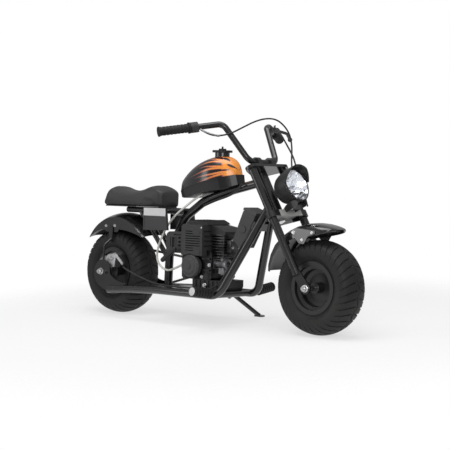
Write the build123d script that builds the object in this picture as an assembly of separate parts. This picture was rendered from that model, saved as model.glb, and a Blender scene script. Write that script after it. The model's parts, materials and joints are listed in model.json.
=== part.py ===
"""Minibike with fat tyres, a teardrop tank and a small open engine.

The bike is modelled upright, with +X forward, +Y to its left, +Z up and the rear
axle at the origin. At the end it leans on its side stand, and the origin moves to
the floor in the middle of its footprint.
"""
from build123d import *
import math
import os

# Wheels
WHEELBASE = 1000.0
TYRE_DIAMETER = 330.0
TYRE_WIDTH = 124.0
TYRE_CROWN_RADIUS = 100.0
TYRE_CROWN_HALF = 50.0
RIM_FLANGE_RADIUS = 92.0
RIM_SEAT_RADIUS = 80.0
RIM_WIDTH = 98.0
RIM_WALL = 3.0
HUB_RADIUS = 19.0
HUB_HALF = 34.0
AXLE_RADIUS = 6.0
SPACER_RADIUS = 10.0
NUT_FLATS = 19.0
NUT_HEIGHT = 9.0
WASHER_RADIUS = 13.0
WASHER_THICKNESS = 2.0
AXLE_END = 7.0

# Clearances
BEARING_GAP = 0.05
HUB_END_GAP = 1.0
SEAT_GAP = 0.3

# Brake disc, sprockets and chain
DISC_RADIUS = 60.0
DISC_THICKNESS = 3.0
DISC_LEFT = -80.0
CHAIN_LEFT = 76.0
CHAIN_PITCH = 9.525
CHAIN_LINKS = 122
CHAIN_WIDTH = 10.0
CHAIN_CREST = 4.35
CHAIN_WAIST = 3.1
SPROCKET_THICKNESS = 3.0
REAR_TEETH = 60
DRIVE_TEETH = 10
TOOTH_DEPTH = 4.0
TOOTH_GAP = 0.8
DRIVE_SLOPE = 4.94

# Fork and steering, measured in the fork's own frame
RAKE = 30.8
LEG_SPREAD = 82.0
LEG_RADIUS = 14.5
LEG_BEHIND_AXLE = 12.0
LEG_FOOT = 58.0
LEG_TOP = 478.0
FORK_DROPOUT_THICKNESS = 6.0
STEM_BEHIND_AXLE = 48.0
STEM_RADIUS = 11.0
LOWER_CLAMP_AT = 292.0
LOWER_CLAMP_THICKNESS = 12.0
CLAMP_LIP = 12.0
CLAMP_WALL = 4.0
TOP_PLATE_THICKNESS = 7.0
HEAD_TUBE_RADIUS = 22.0
HEAD_TUBE_GAP = 1.0
STEERING_LOCK = 32.0

# Frame tubes
POST_X = 257.0
BAY_LENGTH = 361.0
BACKBONE_RADIUS = 16.0
CRADLE_RADIUS = 14.5
CRADLE_SPREAD = 107.0
RAIL_HEIGHT = -53.0
DROPOUT_SPREAD = 110.0
DROPOUT_THICKNESS = 6.0
SEAT_RAIL_RADIUS = 11.0
SEAT_RAIL_SPREAD = 32.0
STAY_RADIUS = 9.5
STAY_NORMAL = 37.4
CROSS_TUBE_RADIUS = 11.0

# Fenders
FENDER_X = 31.0
FENDER_Z = 36.0
REAR_EDGE_CLEARANCE = 11.0
REAR_CROWN_CLEARANCE = 28.0
REAR_FENDER_HALF = 70.0
FRONT_EDGE_CLEARANCE = 23.0
FRONT_CROWN_CLEARANCE = 41.0
FRONT_FENDER_HALF = 62.0
FENDER_SHEET = 2.5
RAIL_OVER_FENDER = 3.0
STAY_OVER_FENDER = 2.0

# Seat
SEAT_PAN_THICKNESS = 4.0
SEAT_HALF_WIDTH = 72.0
SEAT_FRONT_HALF_WIDTH = 54.0
SEAT_CORNER = 16.0
PANEL_BARS = (205, 262)
PANEL_BAR_RADIUS = 5.0
PANEL_OUTSIDE = 78.0

# Parking
LEAN = 4.5
STAND_FOLD = 100.0

TYRE_RADIUS = TYRE_DIAMETER / 2
FENDER_EDGE_RADIUS = TYRE_RADIUS + REAR_EDGE_CLEARANCE
FENDER_CROWN_RADIUS = TYRE_RADIUS + REAR_CROWN_CLEARANCE
FRONT_EDGE_RADIUS = TYRE_RADIUS + FRONT_EDGE_CLEARANCE
FRONT_CROWN_RADIUS = TYRE_RADIUS + FRONT_CROWN_CLEARANCE
SEAT_RAIL_HEIGHT = FENDER_Z + FENDER_CROWN_RADIUS + RAIL_OVER_FENDER + SEAT_RAIL_RADIUS
SEAT_PAN_BOTTOM = SEAT_RAIL_HEIGHT + SEAT_RAIL_RADIUS
CRADLE_FRONT = POST_X + BAY_LENGTH
FORK_UP = (-math.sin(math.radians(RAKE)), 0, math.cos(math.radians(RAKE)))
FORK_AHEAD = (math.cos(math.radians(RAKE)), 0, math.sin(math.radians(RAKE)))
FORK = Plane(origin=(WHEELBASE, 0, 0), x_dir=FORK_AHEAD, z_dir=FORK_UP)
SIDES = (-1, 1)


def fork_point(ahead, left, up):
    """Place in the bike of a point given in the fork's own frame."""
    x = WHEELBASE + ahead * FORK_AHEAD[0] + up * FORK_UP[0]
    z = ahead * FORK_AHEAD[2] + up * FORK_UP[2]
    return (x, left, z)


def pipe(points, radius, bends):
    """Round bar along straight runs with rounded corners."""
    path = FilletPolyline(*points, radius=bends) if len(points) > 2 else Line(*points)
    start = Plane(origin=path @ 0, z_dir=path % 0)
    return sweep(start * Circle(radius), path=path)


def slab(sketch, low, high):
    """Sketch drawn in the side view, made solid between two distances to the left."""
    return extrude(Plane.XZ.offset(-high) * sketch, high - low)


def side_plate(outline, low, high):
    return slab(make_face(outline), low, high)


def front_plate(outline, low, high):
    """Outline of (left, up) points made solid between two distances forward."""
    return extrude(Plane.YZ.offset(low) * make_face(outline), high - low)


def turned(outline):
    """Ring turned about the wheel's axle from an outline of (left, radius) points."""
    return revolve(Plane.YZ * make_face(outline), Axis.Y)


def rod_y(radius, low, high, x=0.0, z=0.0):
    """Round bar across the bike."""
    return Pos(x, (low + high) / 2, z) * Rot(90, 0, 0) * Cylinder(radius, high - low)


def block(x_range, y_range, z_range):
    """Box between three pairs of limits."""
    sizes = [high - low for low, high in (x_range, y_range, z_range)]
    middle = [(high + low) / 2 for low, high in (x_range, y_range, z_range)]
    return Pos(*middle) * Box(*sizes)


def fork_rod(radius, low, high, ahead, left=0.0):
    """Round bar along the fork, in the fork's own frame."""
    return FORK.location * Pos(ahead, left, (low + high) / 2) * Cylinder(radius, high - low)


def in_fork(shape):
    """Moves a shape from the fork's own frame to the bike."""
    return FORK.location * shape


def mirror_y(shape):
    return mirror(shape, about=Plane.XZ)


def joined(*shapes):
    """Several solids kept apart in one node."""
    return Compound(children=[solid for shape in shapes for solid in shape.solids()])


def both_sides(shape):
    """A piece and its mirror image on the other side, as one node."""
    return joined(shape, mirror_y(shape))


# Wheels

def tyre():
    half = TYRE_WIDTH / 2
    shoulder = TYRE_RADIUS - TYRE_CROWN_RADIUS
    shoulder += math.sqrt(TYRE_CROWN_RADIUS ** 2 - TYRE_CROWN_HALF ** 2)
    bead = RIM_WIDTH / 2 - RIM_WALL - SEAT_GAP
    lip = RIM_FLANGE_RADIUS + 3
    base = RIM_SEAT_RADIUS + SEAT_GAP
    widest = (RIM_FLANGE_RADIUS + TYRE_RADIUS) / 2
    outline = [
        Line((-bead, base), (bead, base)),
        Line((bead, base), (bead, lip)),
        ThreePointArc((bead, lip), (half, widest), (TYRE_CROWN_HALF, shoulder)),
        ThreePointArc((TYRE_CROWN_HALF, shoulder), (0, TYRE_RADIUS), (-TYRE_CROWN_HALF, shoulder)),
        ThreePointArc((-TYRE_CROWN_HALF, shoulder), (-half, widest), (-bead, lip)),
        Line((-bead, lip), (-bead, base)),
    ]
    return turned(outline)


def rim():
    """Pressed steel rim: flanges, bead seats, a stepped dish and the hub."""
    edge = RIM_WIDTH / 2
    seat = RIM_SEAT_RADIUS
    wall = RIM_WALL
    half_outline = [
        (edge, RIM_FLANGE_RADIUS),
        (edge - wall, RIM_FLANGE_RADIUS),
        (edge - wall, seat),
    ]
    inner = [
        (edge, seat - wall),
        (edge - 14, seat - wall),
        (edge - 20, seat - 14),
        (wall + 6, seat - 16),
        (wall, seat - 30),
        (wall, HUB_RADIUS),
        (HUB_HALF, HUB_RADIUS),
        (HUB_HALF, AXLE_RADIUS + BEARING_GAP),
    ]
    right = half_outline[::-1]
    points = [(-y, r) for y, r in half_outline] + right + inner
    points += [(-y, r) for y, r in reversed(inner)]
    return turned(Polyline(*points, close=True))


def brake_disc():
    half = DISC_THICKNESS / 2
    disc = rod_y(DISC_RADIUS, DISC_LEFT - half, DISC_LEFT + half)
    carrier = rod_y(HUB_RADIUS + 6, DISC_LEFT + half, -HUB_HALF)
    return disc + carrier - rod_y(AXLE_RADIUS + BEARING_GAP, DISC_LEFT - 10, 0)


def pitch_radius(teeth):
    return CHAIN_PITCH / 2 / math.sin(math.pi / teeth)


def toothed_plate(teeth):
    """Sprocket plate whose teeth end a little inside the chain."""
    tip = pitch_radius(teeth) - CHAIN_CREST - TOOTH_GAP
    depth = min(TOOTH_DEPTH, tip / 3)
    points = []
    # Columns: share of a tooth's pitch, share of its depth below the tip
    for tooth in range(teeth):
        for share, below in ((0.0, 1.0), (0.24, 0.75), (0.4, 0.0), (0.6, 0.0), (0.76, 0.75)):
            angle = 2 * math.pi * (tooth + share) / teeth
            radius = tip - depth * below
            points.append((radius * math.cos(angle), radius * math.sin(angle)))
    half = SPROCKET_THICKNESS / 2
    return slab(make_face(Polyline(*points, close=True)), CHAIN_LEFT - half, CHAIN_LEFT + half)


def rear_sprocket():
    carrier = rod_y(HUB_RADIUS + 6, HUB_HALF, CHAIN_LEFT)
    return toothed_plate(REAR_TEETH) + carrier - rod_y(AXLE_RADIUS + BEARING_GAP, 0, CHAIN_LEFT + 10)


def axle(plate_outside, inner_end, spacer_low):
    """Axle with spacers inside the dropouts, and a washer, a nut and a free end outside."""
    nut_start = plate_outside + WASHER_THICKNESS
    nut_end = nut_start + NUT_HEIGHT
    body = rod_y(AXLE_RADIUS, -nut_end - AXLE_END, nut_end + AXLE_END)
    for side in SIDES:
        spacer = sorted((side * spacer_low[side], side * inner_end))
        body += rod_y(SPACER_RADIUS, *spacer)
        body += rod_y(WASHER_RADIUS, *sorted((side * plate_outside, side * nut_start)))
        nut = extrude(RegularPolygon(NUT_FLATS / 2, 6, major_radius=False), NUT_HEIGHT / 2, both=True)
        body += Pos(0, side * (nut_start + nut_end) / 2, 0) * Rot(90, 0, 0) * nut
    return body


def rear_axle():
    inside = DROPOUT_SPREAD - DROPOUT_THICKNESS / 2
    right = -DISC_LEFT + DISC_THICKNESS / 2 + HUB_END_GAP
    left = CHAIN_LEFT + SPROCKET_THICKNESS / 2 + HUB_END_GAP
    return axle(DROPOUT_SPREAD + DROPOUT_THICKNESS / 2, inside, {-1: right, 1: left})


def front_axle():
    half = FORK_DROPOUT_THICKNESS / 2
    inner = HUB_HALF + HUB_END_GAP
    return at_front(axle(LEG_SPREAD + half, LEG_SPREAD - half, {-1: inner, 1: inner}))


def at_front(shape):
    return Pos(WHEELBASE, 0, 0) * shape


# Frame

def head_tube_blank(radius):
    low = LOWER_CLAMP_AT + LOWER_CLAMP_THICKNESS + HEAD_TUBE_GAP
    return fork_rod(radius, low, LEG_TOP - HEAD_TUBE_GAP, -STEM_BEHIND_AXLE)


HEAD_JOINT = fork_point(-STEM_BEHIND_AXLE, 0, LEG_TOP - 29)
# Columns: share of the way from the post to the head, height above the axles
BACKBONE_SHARES = [
    (0.643, 323),
    (0.389, 285),
    (0.176, 220),
    (0.011, 85),
    (0.0, RAIL_HEIGHT + 2),
]
BACKBONE_BENDS = [120, 120, 110, 100]


def along_bay(share):
    return POST_X + share * (HEAD_JOINT[0] - POST_X)


def backbone_points():
    return [HEAD_JOINT] + [(along_bay(share), 0, height) for share, height in BACKBONE_SHARES]


def backbone_x(height):
    """Where the straight runs of the backbone pass a height."""
    points = backbone_points()
    for upper, lower in zip(points, points[1:]):
        if lower[2] <= height <= upper[2]:
            share = (height - lower[2]) / (upper[2] - lower[2])
            return lower[0] + share * (upper[0] - lower[0])
    return points[-1][0]


def backbone_blank(radius):
    return pipe(backbone_points(), radius, BACKBONE_BENDS)


CRADLE_BENDS = [150, 150, 58]
CRADLE_HEAD = fork_point(-STEM_BEHIND_AXLE, 6.1, 363)


def cradle_points(side):
    """Lower rail and downtube of one side, one tube bent at the front."""
    return [
        (40, side * (DROPOUT_SPREAD - 1), RAIL_HEIGHT - 15),
        (165, side * (CRADLE_SPREAD + 1), RAIL_HEIGHT - 5),
        (300, side * CRADLE_SPREAD, RAIL_HEIGHT),
        (CRADLE_FRONT, side * CRADLE_SPREAD, RAIL_HEIGHT),
        (CRADLE_HEAD[0], side * CRADLE_HEAD[1], CRADLE_HEAD[2]),
    ]


def on_downtube(along, behind):
    """Side view place at a length up the downtubes and a distance behind their axis."""
    rise_x = CRADLE_HEAD[0] - CRADLE_FRONT
    rise_z = CRADLE_HEAD[2] - RAIL_HEIGHT
    length = math.hypot(rise_x, rise_z)
    x = CRADLE_FRONT + (along * rise_x - behind * rise_z) / length
    z = RAIL_HEIGHT + (along * rise_z + behind * rise_x) / length
    return (x, z)


def cradle_blank(side):
    return pipe(cradle_points(side), CRADLE_RADIUS, CRADLE_BENDS)


def cradle(side):
    tube = cradle_blank(side)
    keep = Keep.BOTTOM if side > 0 else Keep.TOP
    tube = split(tube, bisect_by=Plane.XZ, keep=keep)
    tube = tube - head_tube_blank(HEAD_TUBE_RADIUS) - dropout_blank(side)
    return tube + stand_lug() if side > 0 else tube


def dropout_outline():
    """Rear axle plate: a lobe round the axle and a tail that grips the lower rail."""
    return [
        Line((65, -84), (123, -72)),
        Line((123, -72), (130, -37)),
        ThreePointArc((130, -37), (88, -29), (51, -8)),
        Line((51, -8), (48, 21)),
        ThreePointArc((48, 21), (10, 46), (-30, 26)),
        ThreePointArc((-30, 26), (-40, -14), (-14, -53)),
        ThreePointArc((-14, -53), (22, -71), (65, -84)),
    ]


def dropout_blank(side):
    half = DROPOUT_THICKNESS / 2
    low, high = sorted((side * (DROPOUT_SPREAD - half), side * (DROPOUT_SPREAD + half)))
    return side_plate(dropout_outline(), low, high)


def dropout(side):
    """Axle plate with an adjuster slot ahead of the axle."""
    slot = Pos(31, -4) * SlotOverall(16, 8)
    plate = dropout_blank(side) - rod_y(AXLE_RADIUS + BEARING_GAP, -200, 200)
    return plate - slab(slot, -200, 200)


ENGINE_PLATE = 4.0
ENGINE_PLATE_TOP = RAIL_HEIGHT + CROSS_TUBE_RADIUS
FRONT_CROSS_X = CRADLE_FRONT - 33


def cross_members():
    """Two cross tubes, the engine plate that they carry and its two long ribs."""
    middle = (POST_X + FRONT_CROSS_X) / 2
    long = FRONT_CROSS_X - POST_X
    plate_half = 125
    body = rod_y(CROSS_TUBE_RADIUS, -CRADLE_SPREAD, CRADLE_SPREAD, POST_X, RAIL_HEIGHT)
    body += rod_y(CROSS_TUBE_RADIUS, -CRADLE_SPREAD, CRADLE_SPREAD, FRONT_CROSS_X, RAIL_HEIGHT)
    level = (ENGINE_PLATE_TOP - ENGINE_PLATE, ENGINE_PLATE_TOP)
    body += block((middle - plate_half, middle + plate_half), (-75, 75), level)
    for left in (-55, 55):
        body += Pos(middle, left, ENGINE_PLATE_TOP - 9) * Box(long, 24, 10)
    for side in SIDES:
        body -= cradle_blank(side)
    return body - backbone_blank(BACKBONE_RADIUS)


SEAT_RAIL_REAR = 62.0
SEAT_RAIL_BEND = 285.0


def seat_rail(side):
    points = [
        (SEAT_RAIL_REAR, side * SEAT_RAIL_SPREAD, SEAT_RAIL_HEIGHT),
        (SEAT_RAIL_BEND, side * SEAT_RAIL_SPREAD, SEAT_RAIL_HEIGHT),
        (backbone_x(SEAT_RAIL_HEIGHT) - 23, side * 14, SEAT_RAIL_HEIGHT),
    ]
    return pipe(points, SEAT_RAIL_RADIUS, 60) - backbone_blank(BACKBONE_RADIUS)


def seat_rails():
    body = seat_rail(-1) + seat_rail(1)
    inner = SEAT_RAIL_SPREAD
    body += rod_y(8, -inner, inner, SEAT_RAIL_REAR + 10, SEAT_RAIL_HEIGHT)
    reach = PANEL_OUTSIDE - 10
    for x in PANEL_BARS:
        body += rod_y(PANEL_BAR_RADIUS, -reach, reach, x, SEAT_RAIL_HEIGHT - 4)
    return body


def stay_point(height=None, x=None):
    """Point of the stays' axis, which passes the rear fender at a set distance."""
    normal = math.radians(STAY_NORMAL)
    reach = FENDER_CROWN_RADIUS + STAY_RADIUS + STAY_OVER_FENDER
    if x is None:
        x = FENDER_X + (reach - (height - FENDER_Z) * math.sin(normal)) / math.cos(normal)
    else:
        height = FENDER_Z + (reach - (x - FENDER_X) * math.cos(normal)) / math.sin(normal)
    return x, height


def seat_stays():
    solids = []
    top_x, top_z = stay_point(height=SEAT_RAIL_HEIGHT)
    low_x, low_z = stay_point(x=POST_X + 5)
    for side in SIDES:
        ends = [(top_x, side * SEAT_RAIL_SPREAD, top_z), (low_x, side * 15, low_z)]
        tube = pipe(ends, STAY_RADIUS, 0) - backbone_blank(BACKBONE_RADIUS) - seat_rails()
        solids.append(tube.solids().sort_by(SortBy.VOLUME)[-1])
    return joined(*solids)


# Seat

SEAT_REAR = -48.0
SEAT_FRONT = 262.0
SEAT_SHOULDER = 140.0


def seat_plan(inset):
    """Plan of the seat, with rounded rear corners and a narrower nose."""
    rear = SEAT_HALF_WIDTH - inset
    front = SEAT_FRONT_HALF_WIDTH - inset
    start = SEAT_REAR + inset
    end = SEAT_FRONT - inset
    corner = SEAT_CORNER
    bulge = corner * (1 - math.sqrt(0.5))
    outline = [
        ThreePointArc((start, -rear + corner), (start + bulge, -rear + bulge), (start + corner, -rear)),
        Line((start + corner, -rear), (SEAT_SHOULDER, -rear)),
        Line((SEAT_SHOULDER, -rear), (end - corner, -front)),
        ThreePointArc((end - corner, -front), (end - bulge, -front + bulge), (end, -front + corner)),
        Line((end, -front + corner), (end, front - corner)),
        ThreePointArc((end, front - corner), (end - bulge, front - bulge), (end - corner, front)),
        Line((end - corner, front), (SEAT_SHOULDER, rear)),
        Line((SEAT_SHOULDER, rear), (start + corner, rear)),
        ThreePointArc((start + corner, rear), (start + bulge, rear - bulge), (start, rear - corner)),
        Line((start, rear - corner), (start, -rear + corner)),
    ]
    return make_face(outline)


def seat_cushion():
    """Padded seat, lowest in the middle, with a crisp edge round its top."""
    base = SEAT_PAN_BOTTOM + SEAT_PAN_THICKNESS + SEAT_GAP
    profile = [
        Line((-38, base), (262, base)),
        Line((262, base), (262, base + 57)),
        ThreePointArc((262, base + 57), (222, base + 76), (178, base + 71)),
        ThreePointArc((178, base + 71), (79, base + 55), (-6, base + 71)),
        ThreePointArc((-6, base + 71), (-25, base + 70), (-38, base + 57)),
        Line((-38, base + 57), (-50, base + 13)),
        Line((-50, base + 13), (-38, base)),
    ]
    side = side_plate(profile, -100, 100)
    plan = Pos(0, 0, base) * extrude(seat_plan(0), 100)
    chamfers = Polyline((-66, -1), (66, -1), (74, 12), (74, 64), (60, 82), (-60, 82), (-74, 64), (-74, 12), close=True)
    front = Pos(0, 0, base) * front_plate(chamfers, -100, 300)
    return side & plan & front


def seat_pan():
    return Pos(0, 0, SEAT_PAN_BOTTOM) * extrude(seat_plan(6), SEAT_PAN_THICKNESS)


def side_panel(side):
    """Open-backed cover under the seat, with a raised rim round its face."""
    top = SEAT_RAIL_HEIGHT + 10
    low_edge = SEAT_RAIL_HEIGHT - 74
    outside = PANEL_OUTSIDE
    outline = Polyline((193, low_edge), (322, low_edge + 2), (312, top), (193, top), close=True)
    panel = side_plate(outline, *sorted((side * (outside - 10), side * outside)))
    pocket = Polyline((195, low_edge + 2), (320, low_edge + 4), (310, top + 20), (195, top + 20), close=True)
    panel -= side_plate(pocket, *sorted((side * (outside - 18), side * (outside - 2))))
    dish = Polyline((199, low_edge + 6), (315, low_edge + 8), (309, top - 28), (199, top - 28), close=True)
    panel -= side_plate(dish, *sorted((side * (outside - 1), side * (outside + 5))))
    for x in PANEL_BARS:
        limits = sorted((side * (outside - 10 + SEAT_GAP), side * (outside - 2)))
        panel += rod_y(8, *limits, x, SEAT_RAIL_HEIGHT - 4)
    return panel


# Fenders

def arch_face(edge_radius, crown_radius, half, sheet):
    """Bowed cross-section of a fender, in the plane through the wheel's axle line."""
    outer = ThreePointArc((-half, edge_radius), (0, crown_radius), (half, edge_radius))
    inner = ThreePointArc((half, edge_radius - sheet), (0, crown_radius - sheet), (-half, edge_radius - sheet))
    ends = [
        Line((half, edge_radius), (half, edge_radius - sheet)),
        Line((-half, edge_radius - sheet), (-half, edge_radius)),
    ]
    return make_face([outer, ends[0], inner, ends[1]])


def arch(edge_radius, crown_radius, half, sheet, start, sweep_angle):
    """Fender sheet turned about the Y axis, from an angle above +X, rearwards over the top."""
    face = Plane.YZ * arch_face(edge_radius, crown_radius, half, sheet)
    face = Rot(0, 90 - start, 0) * face
    return revolve(face, Axis.Y, -sweep_angle)


REAR_FENDER_FROM = 35.3
REAR_FENDER_TO = 148.9
SKIRT_BOTTOM = 153.0


def rear_fender():
    """Broad crown over the tyre with a crescent skirt and a bolt tab on each side."""
    start, end = REAR_FENDER_FROM, REAR_FENDER_TO
    crown = arch(FENDER_EDGE_RADIUS, FENDER_CROWN_RADIUS, REAR_FENDER_HALF, FENDER_SHEET, start, end - start)
    body = Pos(FENDER_X, 0, FENDER_Z) * crown
    edge = FENDER_EDGE_RADIUS - 0.5
    tips = []
    for angle in (start + 1, 95, end - 1):
        a = math.radians(angle)
        tips.append((FENDER_X + edge * math.cos(a), FENDER_Z + edge * math.sin(a)))
    front, rear = tips[0], tips[2]
    tab = [(-36, SKIRT_BOTTOM + 9), (-19, SKIRT_BOTTOM), (42, SKIRT_BOTTOM), (50, SKIRT_BOTTOM + 11)]
    outline = [
        ThreePointArc(*tips),
        ThreePointArc(rear, ((rear[0] + tab[0][0]) / 2, (rear[1] + tab[0][1]) / 2 + 5), tab[0]),
        Line(tab[0], tab[1]),
        Line(tab[1], tab[2]),
        Line(tab[2], tab[3]),
        ThreePointArc(tab[3], ((front[0] + tab[3][0]) / 2, (front[1] + tab[3][1]) / 2 + 5), front),
    ]
    for side in SIDES:
        limits = sorted((side * (REAR_FENDER_HALF - FENDER_SHEET), side * REAR_FENDER_HALF))
        body += side_plate(outline, *limits)
    return body


def fender_stays():
    """Flat bars from the dropouts up to the fender's side tabs."""
    solids = []
    foot = DROPOUT_SPREAD - DROPOUT_THICKNESS / 2 - 4 - SEAT_GAP
    top = SKIRT_BOTTOM
    outline = [
        Line((0, top - 46), (16, top - 40)),
        Line((16, top - 40), (20, top + 14)),
        ThreePointArc((20, top + 14), (8, top + 22), (-4, top + 14)),
        Line((-4, top + 14), (0, top - 46)),
    ]
    for side in SIDES:
        near = side * (REAR_FENDER_HALF + SEAT_GAP)
        far = side * (REAR_FENDER_HALF + SEAT_GAP + 4)
        bar = side_plate(outline, *sorted((near, far)))
        y = (near + far) / 2
        arm = pipe([(8, y, top - 28), (6, side * foot, top - 50), (0, side * foot, 21)], 4, 10)
        solids.append(bar + arm)
    return joined(*solids)


FRONT_FENDER_BREAK = 95.0
FRONT_FENDER_NOSE = 66.0
FRONT_FENDER_REAR = 180.0
NOSE_FLARE = 114.0


def front_fender():
    """Blade close to the tyre behind the fork, with a flatter nose ahead of it."""
    edge, crown = FRONT_EDGE_RADIUS, FRONT_CROWN_RADIUS
    back = arch(edge, crown, FRONT_FENDER_HALF, FENDER_SHEET, FRONT_FENDER_BREAK, FRONT_FENDER_REAR - FRONT_FENDER_BREAK)
    turn = FRONT_FENDER_BREAK - FRONT_FENDER_NOSE
    nose = arch(edge + NOSE_FLARE, crown + NOSE_FLARE, FRONT_FENDER_HALF, FENDER_SHEET, FRONT_FENDER_NOSE, turn)
    c = math.radians(FRONT_FENDER_BREAK)
    return at_front(back + Pos(-NOSE_FLARE * math.cos(c), 0, -NOSE_FLARE * math.sin(c)) * nose)


def fender_bracket():
    """Pads between the front fender's shoulders and the fork legs."""
    half = FRONT_FENDER_HALF
    pad = in_fork(Pos(-LEG_BEHIND_AXLE, -half, FRONT_CROWN_RADIUS - 20) * Box(20, 20, 26))
    grown = FRONT_EDGE_RADIUS + SEAT_GAP, FRONT_CROWN_RADIUS + SEAT_GAP
    crown = arch(*grown, half + SEAT_GAP, 70, FRONT_FENDER_BREAK, FRONT_FENDER_REAR - FRONT_FENDER_BREAK)
    return both_sides(pad - at_front(crown) - fork_legs())


# Tank

TANK_TAIL_X = 325.0
TANK_TAIL_Z = 317.0
TANK_TILT = 13.0
TANK_BEHIND_HEAD = 115.5
TANK_LENGTH = (HEAD_JOINT[0] - TANK_BEHIND_HEAD - TANK_TAIL_X) / math.cos(math.radians(TANK_TILT))
TANK = Plane(
    origin=(TANK_TAIL_X, 0, TANK_TAIL_Z),
    x_dir=(0, 1, 0),
    z_dir=(math.cos(math.radians(TANK_TILT)), 0, math.sin(math.radians(TANK_TILT))),
)
# Columns: share of the tank's length, half width, straight side, ridge height, depth below the seam
TANK_SECTIONS = [
    (0, 20, 6, 14, 24),
    (0.135, 46, 12, 47, 34),
    (0.405, 68, 16, 78, 35),
    (0.692, 78, 18, 88, 38),
    (0.895, 74, 18, 78, 42),
    (1, 54, 12, 48, 34),
]
SEAM_FLANGE = 3.0
SEAM_HALF = 1.2
CAP_SHARE = 0.69
NECK_RADIUS = 27.0
NECK_TOP = 465.0
CAP_RADIUS = 37.0
CAP_X = TANK_TAIL_X + CAP_SHARE * TANK_LENGTH * math.cos(math.radians(TANK_TILT))


def tank_upper():
    """Upper shell with its teardrop ridge, the filler neck and half the seam flange."""
    faces = []
    rims = []
    for share, half, side, ridge, _ in TANK_SECTIONS:
        outline = [
            Line((-half, 0), (half, 0)),
            Line((half, 0), (half, side)),
            ThreePointArc((half, side), (0, ridge), (-half, side)),
            Line((-half, side), (-half, 0)),
        ]
        faces.append(TANK.offset(share * TANK_LENGTH) * make_face(outline))
        wide = half + SEAM_FLANGE
        rim_outline = Polyline((-wide, 0), (wide, 0), (wide, SEAM_HALF), (-wide, SEAM_HALF), close=True)
        rims.append(TANK.offset(share * TANK_LENGTH) * make_face(rim_outline))
    shell = loft(faces) + loft(rims, ruled=True)
    neck = Pos(CAP_X, 0, NECK_TOP - 35) * Cylinder(NECK_RADIUS, 70)
    return shell + neck


def tank_lower():
    """Lower shell that straddles the backbone, with the other half of the flange."""
    faces = []
    rims = []
    for share, half, _, _, depth in TANK_SECTIONS:
        foot = half * 0.86
        outline = Polyline((-half, -0.01), (half, -0.01), (foot, -depth), (-foot, -depth), close=True)
        faces.append(TANK.offset(share * TANK_LENGTH) * make_face(outline))
        wide = half + SEAM_FLANGE
        rim_outline = Polyline((-wide, -SEAM_HALF), (wide, -SEAM_HALF), (wide, -0.01), (-wide, -0.01), close=True)
        rims.append(TANK.offset(share * TANK_LENGTH) * make_face(rim_outline))
    shell = loft(faces, ruled=True) + loft(rims, ruled=True)
    return shell - backbone_blank(BACKBONE_RADIUS + SEAT_GAP)


def fuel_cap():
    """Screw cap with a fluted edge, a grip ring and a vent nipple."""
    flutes = 24
    rim_face = Circle(CAP_RADIUS) - PolarLocations(CAP_RADIUS + 1.2, flutes) * RegularPolygon(2.6, 4)
    cap = Pos(CAP_X, 0, NECK_TOP) * extrude(rim_face, 8)
    grip = Pos(CAP_X, 0, NECK_TOP + 11) * Cylinder(14, 6)
    vent = Pos(CAP_X, 0, NECK_TOP + 18) * Cylinder(3.5, 8)
    return cap + grip + vent


# Engine

ENGINE_X = POST_X + 205
CASE_X = (ENGINE_X - 75, ENGINE_X + 75)
CASE_Y = (-60.0, 70.0)
CASE_Z = (ENGINE_PLATE_TOP + 39, ENGINE_PLATE_TOP + 147)
SHROUD_X = (ENGINE_X - 58, ENGINE_X + 50)
SHROUD_Y = (-84.0, 4.0)
SHROUD_Z = (CASE_Z[1], CASE_Z[1] + 94)
FILTER_X = ENGINE_X - 13
FILTER_Z = ENGINE_PLATE_TOP + 87
FILTER_RADIUS = 44.0
LOUVRE_PITCH = 8.8
FIN_PITCH = 10.0
FIN_THICKNESS = 3.6
FIN_COUNT = 9
HEAD_X = (ENGINE_X + 66, ENGINE_X + 106)


def case_blank():
    return block(CASE_X, CASE_Y, CASE_Z)


def engine_block():
    """Crankcase with the bearing cover on its right and the output boss on its left."""
    body = chamfer(case_blank().edges().filter_by(Axis.Y), 7)
    low, high = CASE_Z[0] + 12, CASE_Z[1] - 14
    for height in (low + 20, low + 62):
        bar = block((CASE_X[1] - 44, CASE_X[1] - 6), (CASE_Y[0] - 5, CASE_Y[0]), (height, height + 7))
        body += bar
    for step in range(3):
        x = CASE_X[0] + 54 + 36 * step
        body += block((x, x + 5), (CASE_Y[1], CASE_Y[1] + 4), (low, high))
    return body


def cylinder_fins():
    """Cylinder and head with cooling fins, the valve cover and the exhaust elbow."""
    middle = (CASE_Y[0] + CASE_Y[1]) / 2
    head_middle = sum(HEAD_X) / 2
    base = CASE_Z[1] - 24
    top = base + FIN_PITCH * (FIN_COUNT - 1)
    body = block(HEAD_X, (middle - 32, middle + 32), (base, top + FIN_THICKNESS))
    fin = extrude(RectangleRounded(62, 96, 9), FIN_THICKNESS)
    for step in range(FIN_COUNT):
        body += Pos(head_middle, middle, base + FIN_PITCH * step) * fin
    cover = block((HEAD_X[1] + 8, HEAD_X[1] + 28), (middle - 26, middle + 26), (base + 12, top - 12))
    cover = fillet(cover.edges().filter_by(Axis.X), 8)
    body += cover
    port = base + 26
    elbow = [(head_middle + 6, middle + 40, port), (head_middle + 6, middle + 66, port)]
    elbow += [(head_middle + 2, middle + 74, port - 46)]
    body += pipe(elbow, 10, 18)
    shield = case_blank() + block((SHROUD_X[0], SHROUD_X[1] + SEAT_GAP), SHROUD_Y, SHROUD_Z)
    shield += block(SHROUD_X, (SHROUD_Y[1], SHROUD_Y[1] + SEAT_GAP), SHROUD_Z)
    return body - shield


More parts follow.
